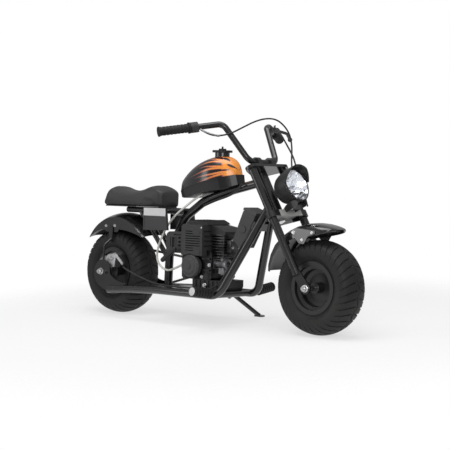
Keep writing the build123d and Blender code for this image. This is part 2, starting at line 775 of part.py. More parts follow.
def shroud_blank():
    """Fan housing: a box with chamfered corners and a skirt beside the crankcase."""
    x0, x1 = SHROUD_X
    top = SHROUD_Z[1]
    foot = SHROUD_Z[0]
    corner = 9
    outline = Polyline((x0, foot), (x1, foot), (x1, top), (x0 + corner, top), (x0, top - corner), close=True)
    shell = side_plate(outline, *SHROUD_Y)
    skirt = block((x0, x1), (SHROUD_Y[0], CASE_Y[0] - SEAT_GAP), (foot - 20, foot))
    return shell + skirt


def louvre(x_low, x_high, height):
    """Slanted slot through the right face of the fan housing."""
    face = SHROUD_Y[0]
    outline = Polyline(
        (face - 1, height - 2), (face - 1, height + 1.6), (face + 7, height + 4.8), (face + 7, height + 1.2), close=True
    )
    return front_plate(outline, x_low, x_high)


def engine_shroud():
    """Fan housing with louvres on its right face, slots on its front and blank pads."""
    body = shroud_blank()
    left_end = SHROUD_X[0] + 21
    # Columns: number of louvres, right-hand end beyond the left one
    rows = [(2, 40), (5, 74), (2, 40)]
    height = SHROUD_Z[1] - 26
    for count, reach in rows:
        for _ in range(count):
            body -= louvre(left_end, left_end + reach, height)
            height -= LOUVRE_PITCH
    pad_x = (SHROUD_X[1] - 50, SHROUD_X[1] - 14)
    body += block(pad_x, (SHROUD_Y[0] - 1, SHROUD_Y[0]), (SHROUD_Z[1] - 34, SHROUD_Z[1] - 21))
    low_pad = (SHROUD_X[1] - 40, SHROUD_X[1] - 10)
    body += block(low_pad, (SHROUD_Y[0] - 2, SHROUD_Y[0]), (SHROUD_Z[0] - 16, SHROUD_Z[0] + 2))
    edge = (SHROUD_X[1] - 7, SHROUD_X[1])
    body += block(edge, (SHROUD_Y[0] - 2.5, SHROUD_Y[0]), (SHROUD_Z[0] - 20, SHROUD_Z[1]))
    for step in range(4):
        level = SHROUD_Z[0] + 12 + 18 * step
        body -= block((SHROUD_X[1] - 5, SHROUD_X[1] + 1), (SHROUD_Y[0] + 8, SHROUD_Y[1] - 12), (level, level + 6))
    return body - rod_y(FILTER_RADIUS + 2, SHROUD_Y[0] - 9, CASE_Y[0], FILTER_X, FILTER_Z)


def shroud_cap():
    """Faceted cowl over the fan housing, with a lower step over the cylinder."""
    x0, x1 = SHROUD_X
    seat = SHROUD_Z[1] + SEAT_GAP
    fins_top = CASE_Z[1] - 24 + FIN_PITCH * (FIN_COUNT - 1) + FIN_THICKNESS
    crown = Polyline((x0 + 3, seat), (x0 + 9, seat + 12), (x1 - 12, seat + 17), (x1 + 6, seat), close=True)
    ahead = Polyline(
        (x1 + SEAT_GAP, seat), (x1 + 8, seat - 2), (x1 + 44, seat - 8), (x1 + 76, seat - 24),
        (x1 + 76, fins_top + SEAT_GAP), (x1 + SEAT_GAP, fins_top + SEAT_GAP), close=True,
    )
    side = side_plate(crown, -60, 60) + side_plate(ahead, -44, 54)
    front = Polyline((-62, seat - 40), (62, seat - 40), (60, seat + 6), (44, seat + 18), (-44, seat + 18), (-60, seat + 6), close=True)
    body = side & front_plate(front, x0, x1 + 80)
    for step in range(5):
        left = -32 + 16 * step
        body += block((x0 + 18, x1 - 20), (left - 2, left + 2), (seat + 6, seat + 16))
    return body - block((x0, x1), SHROUD_Y, SHROUD_Z)


STARTER_FACE = -68.0


def starter_cover():
    """Recoil starter housing behind the fan housing, with vents in its right face."""
    x0 = CASE_X[0] - 77
    x1 = SHROUD_X[0] - SEAT_GAP
    low = SHROUD_Z[0] - 16
    top = SHROUD_Z[0] + 63
    step_x = CASE_X[0] - SEAT_GAP
    step_z = CASE_Z[1] + SEAT_GAP
    corner = 20
    bulge = corner * (1 - math.sqrt(0.5))
    outline = [
        Line((x0, low), (step_x, low)),
        Line((step_x, low), (step_x, step_z)),
        Line((step_x, step_z), (x1, step_z)),
        Line((x1, step_z), (x1, top)),
        Line((x1, top), (x0 + corner, top)),
        ThreePointArc((x0 + corner, top), (x0 + bulge, top - bulge), (x0, top - corner)),
        Line((x0, top - corner), (x0, low)),
    ]
    body = side_plate(outline, STARTER_FACE, -10)
    # Columns: low and high ends ahead of the rear edge, low and high ends above the bottom
    vents = [
        (20, 24, 22, 58),
        (30, 56, 17, 58),
        (63, 77, 53, 60),
        (63, 77, 38, 45),
        (63, 77, 25, 32),
        (38, 78, 66, 70),
    ]
    for rear, front, bottom, upper in vents:
        body -= block((x0 + rear, x0 + front), (STARTER_FACE - 1, STARTER_FACE + 7), (low + bottom, low + upper))
    return body - backbone_blank(BACKBONE_RADIUS + 5)


def starter_handle():
    """Pull handle hanging in front of the starter housing, on its rope guide."""
    centre = (CASE_X[0] - 47, SHROUD_Z[0] - 23)
    slope = math.radians(36)
    half = 36
    thick = 9
    left = STARTER_FACE - 17
    ends = []
    for way in (-1, 1):
        ends.append((centre[0] + way * half * math.cos(slope), left, centre[1] + way * half * math.sin(slope)))
    bar = pipe(ends, thick, 0)
    for end in ends:
        bar += Pos(*end) * Sphere(thick)
    guide = rod_y(6, left, STARTER_FACE - SEAT_GAP, centre[0] + 12, centre[1] + 11)
    return bar + guide


def air_filter():
    """Round filter cover with a stepped dome, a wing nut boss and a ribbed edge."""
    seat = CASE_Y[0] - SEAT_GAP
    depth = 31.7
    radius = FILTER_RADIUS
    outline = Polyline(
        (seat, 0), (seat, radius - 4), (seat - 8, radius - 4), (seat - 8, radius), (seat - 20, radius),
        (seat - 26, radius - 5), (seat - 26, radius - 14), (seat - 29, radius - 18), (seat - 29, 9),
        (seat - depth, 9), (seat - depth, 0), close=True,
    )
    body = turned(outline)
    for step in range(18):
        rib = Pos(0, seat - 14, radius - 0.5) * Box(3, 11, 3)
        body += Rot(0, 20 * step, 0) * rib
    return Pos(FILTER_X, 0, FILTER_Z) * body


def carburettor():
    """Intake flange, throttle body, choke plate, float bowl and top cap."""
    y = -30
    start = CASE_X[1] + SEAT_GAP
    level = ENGINE_PLATE_TOP + 98
    body = block((start, start + 5), (y - 22, y + 22), (level - 18, level + 18))
    body += Pos(start + 27, y, level) * Rot(0, 90, 0) * Cylinder(15, 50)
    body += Pos(start + 54, y, level) * Rot(0, 90, 0) * Cylinder(20, 6)
    body += Pos(start + 28, y, level - 23) * Cylinder(17, 22)
    body += Pos(start + 28, y, level - 36) * Cylinder(7, 6)
    body += Pos(start + 28, y, level + 17) * Cylinder(9, 10)
    return body - Pos(start + 58, y, level) * Rot(0, 90, 0) * Cylinder(11, 30)


def sump():
    """Ribbed oil pan between the crankcase and the engine plate."""
    x0, x1 = ENGINE_X - 15, ENGINE_X + 123
    low = ENGINE_PLATE_TOP + 0.1
    top = CASE_Z[0] - 0.1
    outline = Polyline((x0 + 8, low), (x1 - 8, low), (x1, low + 14), (x1, top), (x0, top), (x0, low + 14), close=True)
    body = side_plate(outline, -64, 64)
    for step in range(6):
        x = x0 + 16 + 21 * step
        body += block((x, x + 4), (-68, 68), (low + 8, top - 2))
    return body + rod_y(8, -71, 0, ENGINE_X + 55, low + 20)


DRIVE_ANGLE = math.radians(DRIVE_SLOPE)


def drive_distance():
    """Distance between the sprockets that a chain of whole links needs."""
    free = CHAIN_LINKS - (REAR_TEETH + DRIVE_TEETH) / 2
    wrap = (REAR_TEETH - DRIVE_TEETH) / (2 * math.pi)
    return CHAIN_PITCH / 4 * (free + math.sqrt(free ** 2 - 8 * wrap ** 2))


DRIVE_X = drive_distance() * math.cos(DRIVE_ANGLE)
DRIVE_Z = drive_distance() * math.sin(DRIVE_ANGLE)


def chain_step(length):
    """Point and outward direction at a length along the chain's pitch line."""
    big, small = pitch_radius(REAR_TEETH), pitch_radius(DRIVE_TEETH)
    distance = drive_distance()
    lean = math.acos((big - small) / distance)
    run = math.sqrt(distance ** 2 - (big - small) ** 2)
    big_arc = big * (2 * math.pi - 2 * lean)
    small_arc = small * 2 * lean
    length %= big_arc + small_arc + 2 * run
    if length < big_arc:
        angle = DRIVE_ANGLE + lean + length / big
        return big * math.cos(angle), big * math.sin(angle), angle
    length -= big_arc
    if length < run:
        angle = DRIVE_ANGLE - lean
        along = length
    elif length < run + small_arc:
        angle = DRIVE_ANGLE - lean + (length - run) / small
        return DRIVE_X + small * math.cos(angle), DRIVE_Z + small * math.sin(angle), angle
    else:
        angle = DRIVE_ANGLE + lean
        along = run - (length - run - small_arc)
    slope = angle + math.pi / 2 if angle < DRIVE_ANGLE else angle - math.pi / 2
    x = big * math.cos(angle) + along * math.cos(slope)
    z = big * math.sin(angle) + along * math.sin(slope)
    return x, z, angle


def chain_length():
    big, small = pitch_radius(REAR_TEETH), pitch_radius(DRIVE_TEETH)
    distance = drive_distance()
    lean = math.acos((big - small) / distance)
    run = math.sqrt(distance ** 2 - (big - small) ** 2)
    return big * (2 * math.pi - 2 * lean) + small * 2 * lean + 2 * run


def chain():
    """Roller chain round both sprockets: each link swells at its pins and narrows between."""
    steps = 2 * CHAIN_LINKS
    edges = {1: [], -1: []}
    for step in range(steps):
        x, z, angle = chain_step(chain_length() * step / steps)
        half = CHAIN_CREST if step % 2 == 0 else CHAIN_WAIST
        for way, points in edges.items():
            points.append((x + way * half * math.cos(angle), z + way * half * math.sin(angle)))
    loop = make_face(Polyline(*edges[1], close=True)) - make_face(Polyline(*edges[-1], close=True))
    return slab(loop, CHAIN_LEFT - CHAIN_WIDTH / 2, CHAIN_LEFT + CHAIN_WIDTH / 2)


def drive_sprocket():
    plate = Pos(DRIVE_X, 0, DRIVE_Z) * toothed_plate(DRIVE_TEETH)
    return plate + rod_y(7, CASE_Y[1] + SEAT_GAP, CHAIN_LEFT + 11, DRIVE_X, DRIVE_Z)


def drive_cover():
    """Cover outside the drive sprocket, with a dished face and three bolt bosses."""
    low = CHAIN_LEFT + 11 + SEAT_GAP
    places = [(DRIVE_X, DRIVE_Z, 46), (DRIVE_X + 50, DRIVE_Z + 24, 28), (DRIVE_X + 22, DRIVE_Z - 30, 24)]
    edges = [edge for x, z, radius in places for edge in (Pos(x, z) * Circle(radius)).edges()]
    body = slab(make_hull(edges), low, low + 9)
    body = chamfer(body.faces().sort_by(Axis.Y)[-1].edges(), 3)
    body -= rod_y(30, low + 6, low + 20, DRIVE_X, DRIVE_Z)
    for x, z, radius in places[1:]:
        body += rod_y(7, low + 6, low + 12, x, z)
    return body


# Pieces on the downtubes

def battery_box():
    """Case behind the downtubes with a lid that overhangs it and a boss on its side."""
    half = 36
    outline = [(303, 84), (307, 24), (171, 36), (184, 83)]
    body = side_plate(Polyline(*[on_downtube(*p) for p in outline], close=True), -half, half)
    body = chamfer(body.edges().filter_by(Axis.Y), 3)
    lid = [(304, 86), (308, 22), (319, 23), (313, 85)]
    body += side_plate(Polyline(*[on_downtube(*p) for p in lid], close=True), -half - 2, half + 2)
    boss_x, boss_z = on_downtube(240, 56)
    return body + rod_y(13, -half - 3, half + 3, boss_x, boss_z)


def battery_bracket():
    """Strap across both downtubes that the battery box bolts to."""
    outline = [(287, 28.6), (290.5, -5.5), (261.6, -5), (258, 32)]
    strap = side_plate(Polyline(*[on_downtube(*p) for p in outline], close=True), -34, 34)
    return strap - cradle_blank(-1) - cradle_blank(1) - battery_box()


# Controls and details on the frame

PEG_INNER = (599.5, 130.0, -44.4)
PEG_OUTER = (592.0, 216.0, -33.5)
PEG_RADIUS = 18.0


def peg(side):
    """Foot peg: a ribbed rubber with an end flange on a bar welded to the lower rail."""
    inner = (CRADLE_FRONT - 618 + PEG_INNER[0], side * PEG_INNER[1], PEG_INNER[2])
    outer = (CRADLE_FRONT - 618 + PEG_OUTER[0], side * PEG_OUTER[1], PEG_OUTER[2])
    length = math.dist(inner, outer)
    points = [(0, 0), (PEG_RADIUS, 0)]
    grooves = 6
    pitch = (length - 8) / grooves
    for step in range(grooves):
        start = 4 + pitch * step
        points += [(PEG_RADIUS, start + 4), (PEG_RADIUS - 2.5, start + 4)]
        points += [(PEG_RADIUS - 2.5, start + 8), (PEG_RADIUS, start + 8)]
    points += [(PEG_RADIUS, length), (0, length)]
    way = tuple(b - a for a, b in zip(inner, outer))
    frame = Plane(origin=inner, z_dir=way)
    rubber = frame.location * revolve(Plane.XZ * make_face(Polyline(*points, close=True)), Axis.Z)
    root = (inner[0] + 1, side * (CRADLE_SPREAD + 5), inner[2] - 2.3)
    return rubber + pipe([root, inner], 9, 0) - cradle_blank(side)


def caliper():
    """Mechanical caliper over the disc, with its lug, its piston boss and the lever arm."""
    outline = Polyline((13, 51), (23, 67), (66, 76), (70, 66), (64, 43), (60, 19), (24, 18), close=True)
    body = side_plate(outline, -103, -71)
    body = chamfer(body.faces().sort_by(Axis.Y)[0].edges(), 3)
    inside = DROPOUT_SPREAD - DROPOUT_THICKNESS / 2 - SEAT_GAP
    body += side_plate(Polyline((12, 14), (36, 14), (40, 38), (14, 38), close=True), -inside, -90)
    body += rod_y(11, -106, -102, 48, 56)
    body += rod_y(6, -112, -100, 62, 64)
    arm = Polyline((54, 66), (68, 74), (84, 72), (124, 38), (117, 30), (82, 58), (64, 56), close=True)
    body += side_plate(arm, -112, -109)
    return body - rod_y(DISC_RADIUS + 2, DISC_LEFT - 4, DISC_LEFT + 4)


# Steering

def fork_leg(side):
    left = side * LEG_SPREAD
    leg = Pos(-LEG_BEHIND_AXLE, left, (LEG_FOOT + LEG_TOP) / 2) * Cylinder(LEG_RADIUS, LEG_TOP - LEG_FOOT)
    half = FORK_DROPOUT_THICKNESS / 2
    outline = [
        Line((-LEG_BEHIND_AXLE - LEG_RADIUS, LEG_FOOT + 18), (-LEG_BEHIND_AXLE + LEG_RADIUS, LEG_FOOT + 18)),
        Line((-LEG_BEHIND_AXLE + LEG_RADIUS, LEG_FOOT + 18), (19, 4)),
        ThreePointArc((19, 4), (0, -19.5), (-20, 4)),
        Line((-20, 4), (-LEG_BEHIND_AXLE - LEG_RADIUS, LEG_FOOT + 18)),
    ]
    plate = side_plate(outline, left - half, left + half)
    return leg + plate - rod_y(AXLE_RADIUS + BEARING_GAP, -200, 200)


def fork_legs():
    return both_sides(in_fork(fork_leg(-1)))


def clamp_outline(grow):
    """Plan outline of a fork plate: round about each leg, wide over the stem."""
    ear = LEG_RADIUS + 6 + grow
    parts = (Pos(-STEM_BEHIND_AXLE, 0) * Circle(HEAD_TUBE_RADIUS + 4 + grow)).edges()
    for side in SIDES:
        parts += (Pos(-LEG_BEHIND_AXLE, side * LEG_SPREAD) * Circle(ear)).edges()
    return make_hull(parts)


def top_plate():
    """Pressed plate over the legs, with a low rim folded up round it."""
    plate = Pos(0, 0, LEG_TOP) * extrude(clamp_outline(0), TOP_PLATE_THICKNESS)
    fold = clamp_outline(2.5) - clamp_outline(0)
    rim_fold = Pos(0, 0, LEG_TOP) * extrude(fold, TOP_PLATE_THICKNESS + 4)
    return in_fork(plate + rim_fold) - stem_blank()


def lower_clamp():
    """Channel-shaped clamp, open below, that both legs pass through."""
    low = LOWER_CLAMP_AT
    plate = Pos(0, 0, low) * extrude(clamp_outline(0), LOWER_CLAMP_THICKNESS)
    walls = clamp_outline(0) - clamp_outline(-CLAMP_WALL)
    channel = Pos(0, 0, low - CLAMP_LIP) * extrude(walls, CLAMP_LIP)
    return in_fork(plate + channel) - stem_blank() - fork_legs()


def stem_blank():
    return fork_rod(STEM_RADIUS, LOWER_CLAMP_AT, LEG_TOP + TOP_PLATE_THICKNESS + 14, -STEM_BEHIND_AXLE)


def stem():
    """Steering stem with a hexagon nut over the top plate and one under the clamp."""
    nut_low = LEG_TOP + TOP_PLATE_THICKNESS
    hexagon = RegularPolygon(15, 6, major_radius=False)
    upper = Pos(-STEM_BEHIND_AXLE, 0, nut_low) * extrude(hexagon, 9)
    lower = Pos(-STEM_BEHIND_AXLE, 0, LOWER_CLAMP_AT - 10) * extrude(hexagon, 10)
    return stem_blank() + in_fork(upper) + in_fork(lower)


BAR_RADIUS = 11.0
GRIP_LENGTH = 112.0
GRIP_RADIUS = 16.0
# Columns: ahead, left and up in the fork's frame, from the left grip's end to the clamps
BAR_HALF = [
    (-142.5, 325, 698.5),
    (-27.8, 118, 672),
    (-17.4, 72, 509.8),
]
BAR_CLAMP = (BAR_HALF[2][0], BAR_HALF[2][2])


def bar_points():
    left = [fork_point(*point) for point in BAR_HALF]
    right = [(x, -y, z) for x, y, z in left]
    return right + left[::-1]


def handlebar():
    return pipe(bar_points(), BAR_RADIUS, [30, 38, 38, 30])


def riser(left):
    """Clamp block that rises from the top plate and wraps round the bar."""
    foot = LEG_TOP + TOP_PLATE_THICKNESS + SEAT_GAP
    wide = Polyline((-46, foot), (-2, foot), (-6, foot + 8), (-40, foot + 8), close=True)
    ring = Pos(*BAR_CLAMP) * Circle(BAR_RADIUS + 7)
    return slab(make_hull(wide.edges() + ring.edges()), left - 10, left + 10)


def risers():
    body = joined(*[in_fork(riser(left)) for left in (-35.5, 35.5)])
    return body - handlebar() - stem()


def bar_end_frame():
    """Frame on the left end of the bar: x outward, y to the rear, z up."""
    bend = Vector(*fork_point(*BAR_HALF[1]))
    end = Vector(*fork_point(*BAR_HALF[0]))
    out = (end - bend).normalized()
    up = Vector(1, 0, 0).cross(out)
    return Plane(origin=bend, x_dir=out, z_dir=up)


def bar_end_length():
    return math.dist(fork_point(*BAR_HALF[0]), fork_point(*BAR_HALF[1]))


def grip():
    """Left grip: a sleeve with an end flange, an inner flange and rings between."""
    end = bar_end_length() + 3
    start = bar_end_length() - GRIP_LENGTH
    points = [(start, 0), (start, GRIP_RADIUS + 4), (start + 4, GRIP_RADIUS + 4)]
    rings = 8
    pitch = (end - start - 8) / rings
    for step in range(rings):
        x = start + 4 + pitch * step
        points += [(x, GRIP_RADIUS - 1.5), (x + pitch * 0.4, GRIP_RADIUS - 1.5)]
        points += [(x + pitch * 0.4, GRIP_RADIUS), (x + pitch, GRIP_RADIUS)]
    points += [(end - 4, GRIP_RADIUS + 2), (end, GRIP_RADIUS + 2), (end, 0)]
    sleeve = revolve(Plane.XY * make_face(Polyline(*points, close=True)), Axis.X)
    return bar_end_frame().location * sleeve - handlebar()


def grips():
    return both_sides(grip())


def throttle_housing():
    """Split housing of the twist grip beside the right grip, with its cable spigot."""
    start = bar_end_length() - GRIP_LENGTH
    frame = bar_end_frame().location
    body = Pos(start - 16, 0, 0) * Rot(0, 90, 0) * Cylinder(19, 28)
    body += Pos(start - 16, -17, -6) * Box(24, 16, 20)
    body += Pos(start - 16, -28, -8) * Rot(90, 0, 0) * Cylinder(5, 12)
    body -= Pos(start - 16, 0, 0) * Rot(0, 90, 0) * Cylinder(BAR_RADIUS + BEARING_GAP, 60)
    return mirror_y(frame * body)


LEVER_PERCH_AT = 46.0


def brake_lever():
    """Left lever: a clamp on the bar, the perch ahead of it and a blade with a ball end."""
    at = LEVER_PERCH_AT
    frame = bar_end_frame().location
    perch = Pos(at, 0, 0) * Rot(0, 90, 0) * Cylinder(17, 22)
    perch += Pos(at + 4, -24, 0) * Box(30, 26, 14)
    perch += Pos(at - 16, -30, 0) * Rot(0, 90, 0) * Cylinder(6, 24)
    blade = pipe([(at + 14, -30, 0), (at + 52, -58, 0), (at + 158, -50, -4)], 5.5, 30)
    blade += Pos(at + 158, -50, -4) * Sphere(9)
    body = perch + blade
    body -= Pos(at, 0, 0) * Rot(0, 90, 0) * Cylinder(BAR_RADIUS + BEARING_GAP, 60)
    return frame * body


LAMP_AHEAD = 79.4
LAMP_UP = 363.6
LAMP_TILT = 23.0
LAMP_RADIUS = 62.0
LAMP_DEPTH = 84.0
LAMP = Plane(
    origin=fork_point(LAMP_AHEAD, 0, LAMP_UP),
    x_dir=(0, 1, 0),
    z_dir=(math.cos(math.radians(LAMP_TILT)), 0, math.sin(math.radians(LAMP_TILT))),
)


def headlamp_bucket():
    """Bullet-shaped case with a rim ring in front."""
    rim_depth = 10
    profile = [
        Line((0, -LAMP_DEPTH), (0, 0)),
        Line((0, 0), (LAMP_RADIUS, 0)),
        Line((LAMP_RADIUS, 0), (LAMP_RADIUS, -rim_depth)),
        Line((LAMP_RADIUS, -rim_depth), (LAMP_RADIUS - 2, -rim_depth)),
        Line((LAMP_RADIUS - 2, -rim_depth), (LAMP_RADIUS - 2, -30)),
        ThreePointArc((LAMP_RADIUS - 2, -30), (48, -68), (16, -LAMP_DEPTH)),
        Line((16, -LAMP_DEPTH), (0, -LAMP_DEPTH)),
    ]
    return LAMP.location * revolve(Plane.XZ * make_face(profile), Axis.Z)


def headlamp_lens():
    edge = LAMP_RADIUS - 4
    profile = [
        Line((0, SEAT_GAP), (edge, SEAT_GAP)),
        Line((edge, SEAT_GAP), (edge, 3)),
        ThreePointArc((edge, 3), (32, 12), (6, 14)),
        Line((6, 14), (0, 14)),
        Line((0, 14), (0, SEAT_GAP)),
    ]
    return LAMP.location * revolve(Plane.XZ * make_face(profile), Axis.Z)


def headlamp_visor():
    """Hood over the upper half of the lens, longest at its top."""
    inner = LAMP_RADIUS + SEAT_GAP
    tube = Circle(inner + 2) - Circle(inner)
    hood = Pos(0, 0, -9) * extrude(tube, 42)
    # Side view of the hood, as (forward, up) points in the lamp's own frame
    outline = Polyline((-9, 12), (6, 8), (33, 52), (33, 80), (-9, 80), close=True)
    keep = extrude(Plane(origin=(-100, 0, 0), x_dir=(0, 0, 1), z_dir=(1, 0, 0)) * make_face(outline), 200)
    half = LAMP.location * (hood & mirror(keep, about=Plane.XZ))
    upright = LAMP.location * (hood & keep)
    return max((half, upright), key=lambda shape: shape.bounding_box().max.Z)


def headlamp_bracket():
    """Two arms from the lower clamp to the underside of the headlamp."""
    low = LOWER_CLAMP_AT
    outline = Polyline((-8, low + 2), (60, low - 4), (72, low + 4), (66, low + 24), (20, low + 22), (-8, low + 11), close=True)
    arms = joined(*[in_fork(side_plate(outline, left - 2, left + 2)) for left in (-25, 25)])
    return arms - headlamp_bucket() - lower_clamp() - head_tube_blank(HEAD_TUBE_RADIUS + 8)


# Cords

def cord(points, radius, bend):
    """Cable or hose along straight runs and arcs."""
    return pipe(points, radius, bend)


THROTTLE_CABLE = [
    (613, -214, 540),
    (634, -196, 522),
    (655, -160, 518),
    (670, -118, 528),
    (684, -70, 552),
    (692, -10, 578),
    (702, 40, 590),
    (709, 85, 588),
    (718, 118, 567),
    (728, 137, 538),
    (738, 138, 505),
    (750, 127, 472),
    (768, 104, 440),
    (790, 82, 400),
    (816, 72, 352),
    (846, 66, 280),
]
LEVER_CABLE = [
    (651, 146, 568),
    (664, 122, 564),
    (690, 104, 556),
    (718, 99, 537),
    (744, 101, 500),
    (768, 112, 456),
    (790, 104, 419),
    (822, 98, 359),
    (850, 102, 276),
]
BRAKE_CABLE = [
    (122, -111, 24),
    (134, -109, 16),
    (202, -108, -6),
    (268, -107, -24),
    (330, -107, -33),
    (560, -107, -33),
    (598, -104, -22),
    (624, -92, 8),
    (672, -58, 118),
    (686, -48, 148),
]
FUEL_HOSE = [
    (466, -40, 309),
    (433, -40, 295),
    (382, -40, 264),
    (325, -42, 226),
    (279, -44, 174),
    (248, -44, 120),
    (233, -42, 73),
    (245, -42, 38),
    (284, -40, 16),
    (330, -40, 26),
    (385, -40, 51),
]
WIRING_LOOM = [
    (650, -30, 350),
    (633, -28, 332),
    (604, -26, 316),
    (566, -26, 302),
    (510, -26, 287),
    (460, -26, 268),
]
CABLE_RADIUS = 3.0
HOSE_RADIUS = 4.0
LOOM_RADIUS = 5.0


# Side stand

STAND_X = 470.0
STAND_Y = 132.0
STAND_BELOW_RAIL = 12.0
STAND_REACH = 75.0
STAND_SPLAY = 73.0
STAND_AXIS = (-0.107, 0.939, 0.328)
STAND_RADIUS = 8.0
STAND_PIN_RADIUS = 5.0
STAND_PIN_GAP = 0.2
STAND_BOSS = 14.0
STAND_BOSS_RADIUS = 11.0
STAND_SIDE_GAP = 0.5
STAND_HEAD_GAP = 4.0
FOOT_THICKNESS = 5.0
FOOT_ABOVE_FLOOR = 0.2
STAND_PIVOT = (STAND_X, STAND_Y, RAIL_HEIGHT - STAND_BELOW_RAIL)


def stand_foot_point():
    """Middle of the foot pad, whose underside lies on the floor once the bike leans."""
    lean = math.radians(LEAN)
    left = STAND_Y + STAND_SPLAY
    height = FOOT_ABOVE_FLOOR + FOOT_THICKNESS / 2 - park_lift() + left * math.sin(lean)
    return (STAND_X + STAND_REACH, left, height / math.cos(lean) - TYRE_RADIUS)


def stand_frame():
    return Plane(origin=STAND_PIVOT, z_dir=STAND_AXIS).location


def stand_lug():
    """Lug on the left rail with the pin that the stand turns on."""
    inner = STAND_BOSS / 2 + STAND_SIDE_GAP
    outer = STAND_BOSS / 2 + STAND_HEAD_GAP
    lug = stand_frame() * Pos(0, 0, -inner - 8) * Cylinder(STAND_BOSS_RADIUS, 16)
    pin = stand_frame() * Pos(0, 0, (outer - inner) / 2) * Cylinder(STAND_PIN_RADIUS, outer + inner + 1)
    head = stand_frame() * Pos(0, 0, outer + 1.5) * Cylinder(STAND_PIN_RADIUS + 2, 3)
    return lug + pin + head


def side_stand():
    """Leg with a flat foot pad, turning on the frame's pin."""
    foot = stand_foot_point()
    boss = stand_frame() * Cylinder(STAND_BOSS_RADIUS, STAND_BOSS)
    leg = pipe([STAND_PIVOT, foot], STAND_RADIUS, 0)
    pad = extrude(SlotOverall(46, 24), FOOT_THICKNESS / 2, both=True)
    floor = Pos(0, 0, -FOOT_THICKNESS / 2 - 25) * Box(100, 100, 50)
    body = boss + leg - Pos(*foot) * Rot(LEAN, 0, 0) * floor
    body += Pos(*foot) * Rot(LEAN, 0, 0) * pad
    return body - stand_frame() * Cylinder(STAND_PIN_RADIUS + STAND_PIN_GAP, 40)


NODES = {
    "head_tube": lambda: head_tube_blank(HEAD_TUBE_RADIUS) - head_tube_blank(STEM_RADIUS + BEARING_GAP),
    "backbone": lambda: backbone_blank(BACKBONE_RADIUS) - head_tube_blank(HEAD_TUBE_RADIUS),
    "cradle_right": lambda: cradle(-1),
    "cradle_left": lambda: cradle(1),
    "cross_members": cross_members,
    "rear_dropouts": lambda: both_sides(dropout(-1)),
    "seat_rails": seat_rails,
    "seat_stays": seat_stays,
    "seat_pan": seat_pan,
    "seat_cushion": seat_cushion,
    "side_panels": lambda: joined(side_panel(-1), side_panel(1)),
    "rear_fender": rear_fender,
    "fender_stays": fender_stays,
    "tank_upper": tank_upper,
    "tank_lower": tank_lower,
    "fuel_cap": fuel_cap,
    "engine_block": engine_block,
    "cylinder_fins": cylinder_fins,
    "engine_shroud": engine_shroud,
    "shroud_cap": shroud_cap,
    "starter_cover": starter_cover,
    "starter_handle": starter_handle,
    "air_filter": air_filter,
    "carburettor": carburettor,
    "sump": sump,
    "drive_cover": drive_cover,
    "drive_sprocket": drive_sprocket,
    "chain": chain,
    "battery_box": battery_box,
    "battery_bracket": battery_bracket,
    "pegs": lambda: both_sides(peg(-1)),
    "brake_caliper": caliper,
    "brake_cable": lambda: cord(BRAKE_CABLE, CABLE_RADIUS, 12),
    "fuel_hose": lambda: cord(FUEL_HOSE, HOSE_RADIUS, 14),
    "wiring_loom": lambda: cord(WIRING_LOOM, LOOM_RADIUS, 20),
    "rear_axle": rear_axle,
    "rear_tyre": tyre,
    "rear_rim": rim,
    "brake_disc": brake_disc,
    "rear_sprocket": rear_sprocket,
    "fork_legs": fork_legs,
    "top_plate": top_plate,
    "lower_clamp": lower_clamp,
    "stem": stem,
    "handlebar": handlebar,
    "risers": risers,
    "grips": grips,
    "bar_controls": lambda: joined(throttle_housing(), brake_lever()),
    "throttle_cable": lambda: cord(THROTTLE_CABLE, CABLE_RADIUS, 14),
    "lever_cable": lambda: cord(LEVER_CABLE, CABLE_RADIUS, 14),
    "headlamp_bucket": headlamp_bucket,
    "headlamp_lens": headlamp_lens,
    "headlamp_visor": headlamp_visor,
    "headlamp_bracket": headlamp_bracket,
    "front_fender": front_fender,
    "fender_bracket": fender_bracket,
    "front_axle": front_axle,
    "front_tyre": lambda: at_front(tyre()),
    "front_rim": lambda: at_front(rim()),
    "side_stand": side_stand,
}


def park_lift():
    """Rise of the wheels' planes as the bike rolls sideways on its tyres' crowns."""
    return TYRE_CROWN_RADIUS * (1 - math.cos(math.radians(LEAN)))


def parked(shape):
    """Leans the bike to its left about the line where its tyres' crowns roll on the floor."""
    return Pos(0, 0, park_lift()) * Rot(-LEAN, 0, 0) * Pos(0, 0, TYRE_RADIUS) * shape


def build():
    shapes = {name: parked(joined(make())) for name, make in NODES.items()}
    boxes = [shape.bounding_box() for shape in shapes.values()]
    low_x = min(box.min.X for box in boxes)
    high_x = max(box.max.X for box in boxes)
    low_y = min(box.min.Y for box in boxes)
    high_y = max(box.max.Y for box in boxes)
    centre = Pos(-(low_x + high_x) / 2, -(low_y + high_y) / 2, 0)
    return {name: centre * shape for name, shape in shapes.items()}, centre


if __name__ == "__main__":
    os.makedirs("parts", exist_ok=True)
    shapes, centre = build()
    for name, shape in shapes.items():
        export_step(shape, f"parts/{name}.step")
    print("centre", centre.position)
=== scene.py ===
# %% [markdown]
# A minibike, dressed for a portrait.
#
# The real bike is a bent tube frame with fat tyres, a rigid raked fork, a teardrop tank, a
# long low seat and a small open engine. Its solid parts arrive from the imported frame, each
# already in its place. This file gives them their finishes and makes what a solid part
# can't show well: the padded seat, the painted tank, the tread, the cables and the bolts.

# %% Load the frame
import json
import math
import bpy
import bmesh
from mathutils import Matrix, Vector


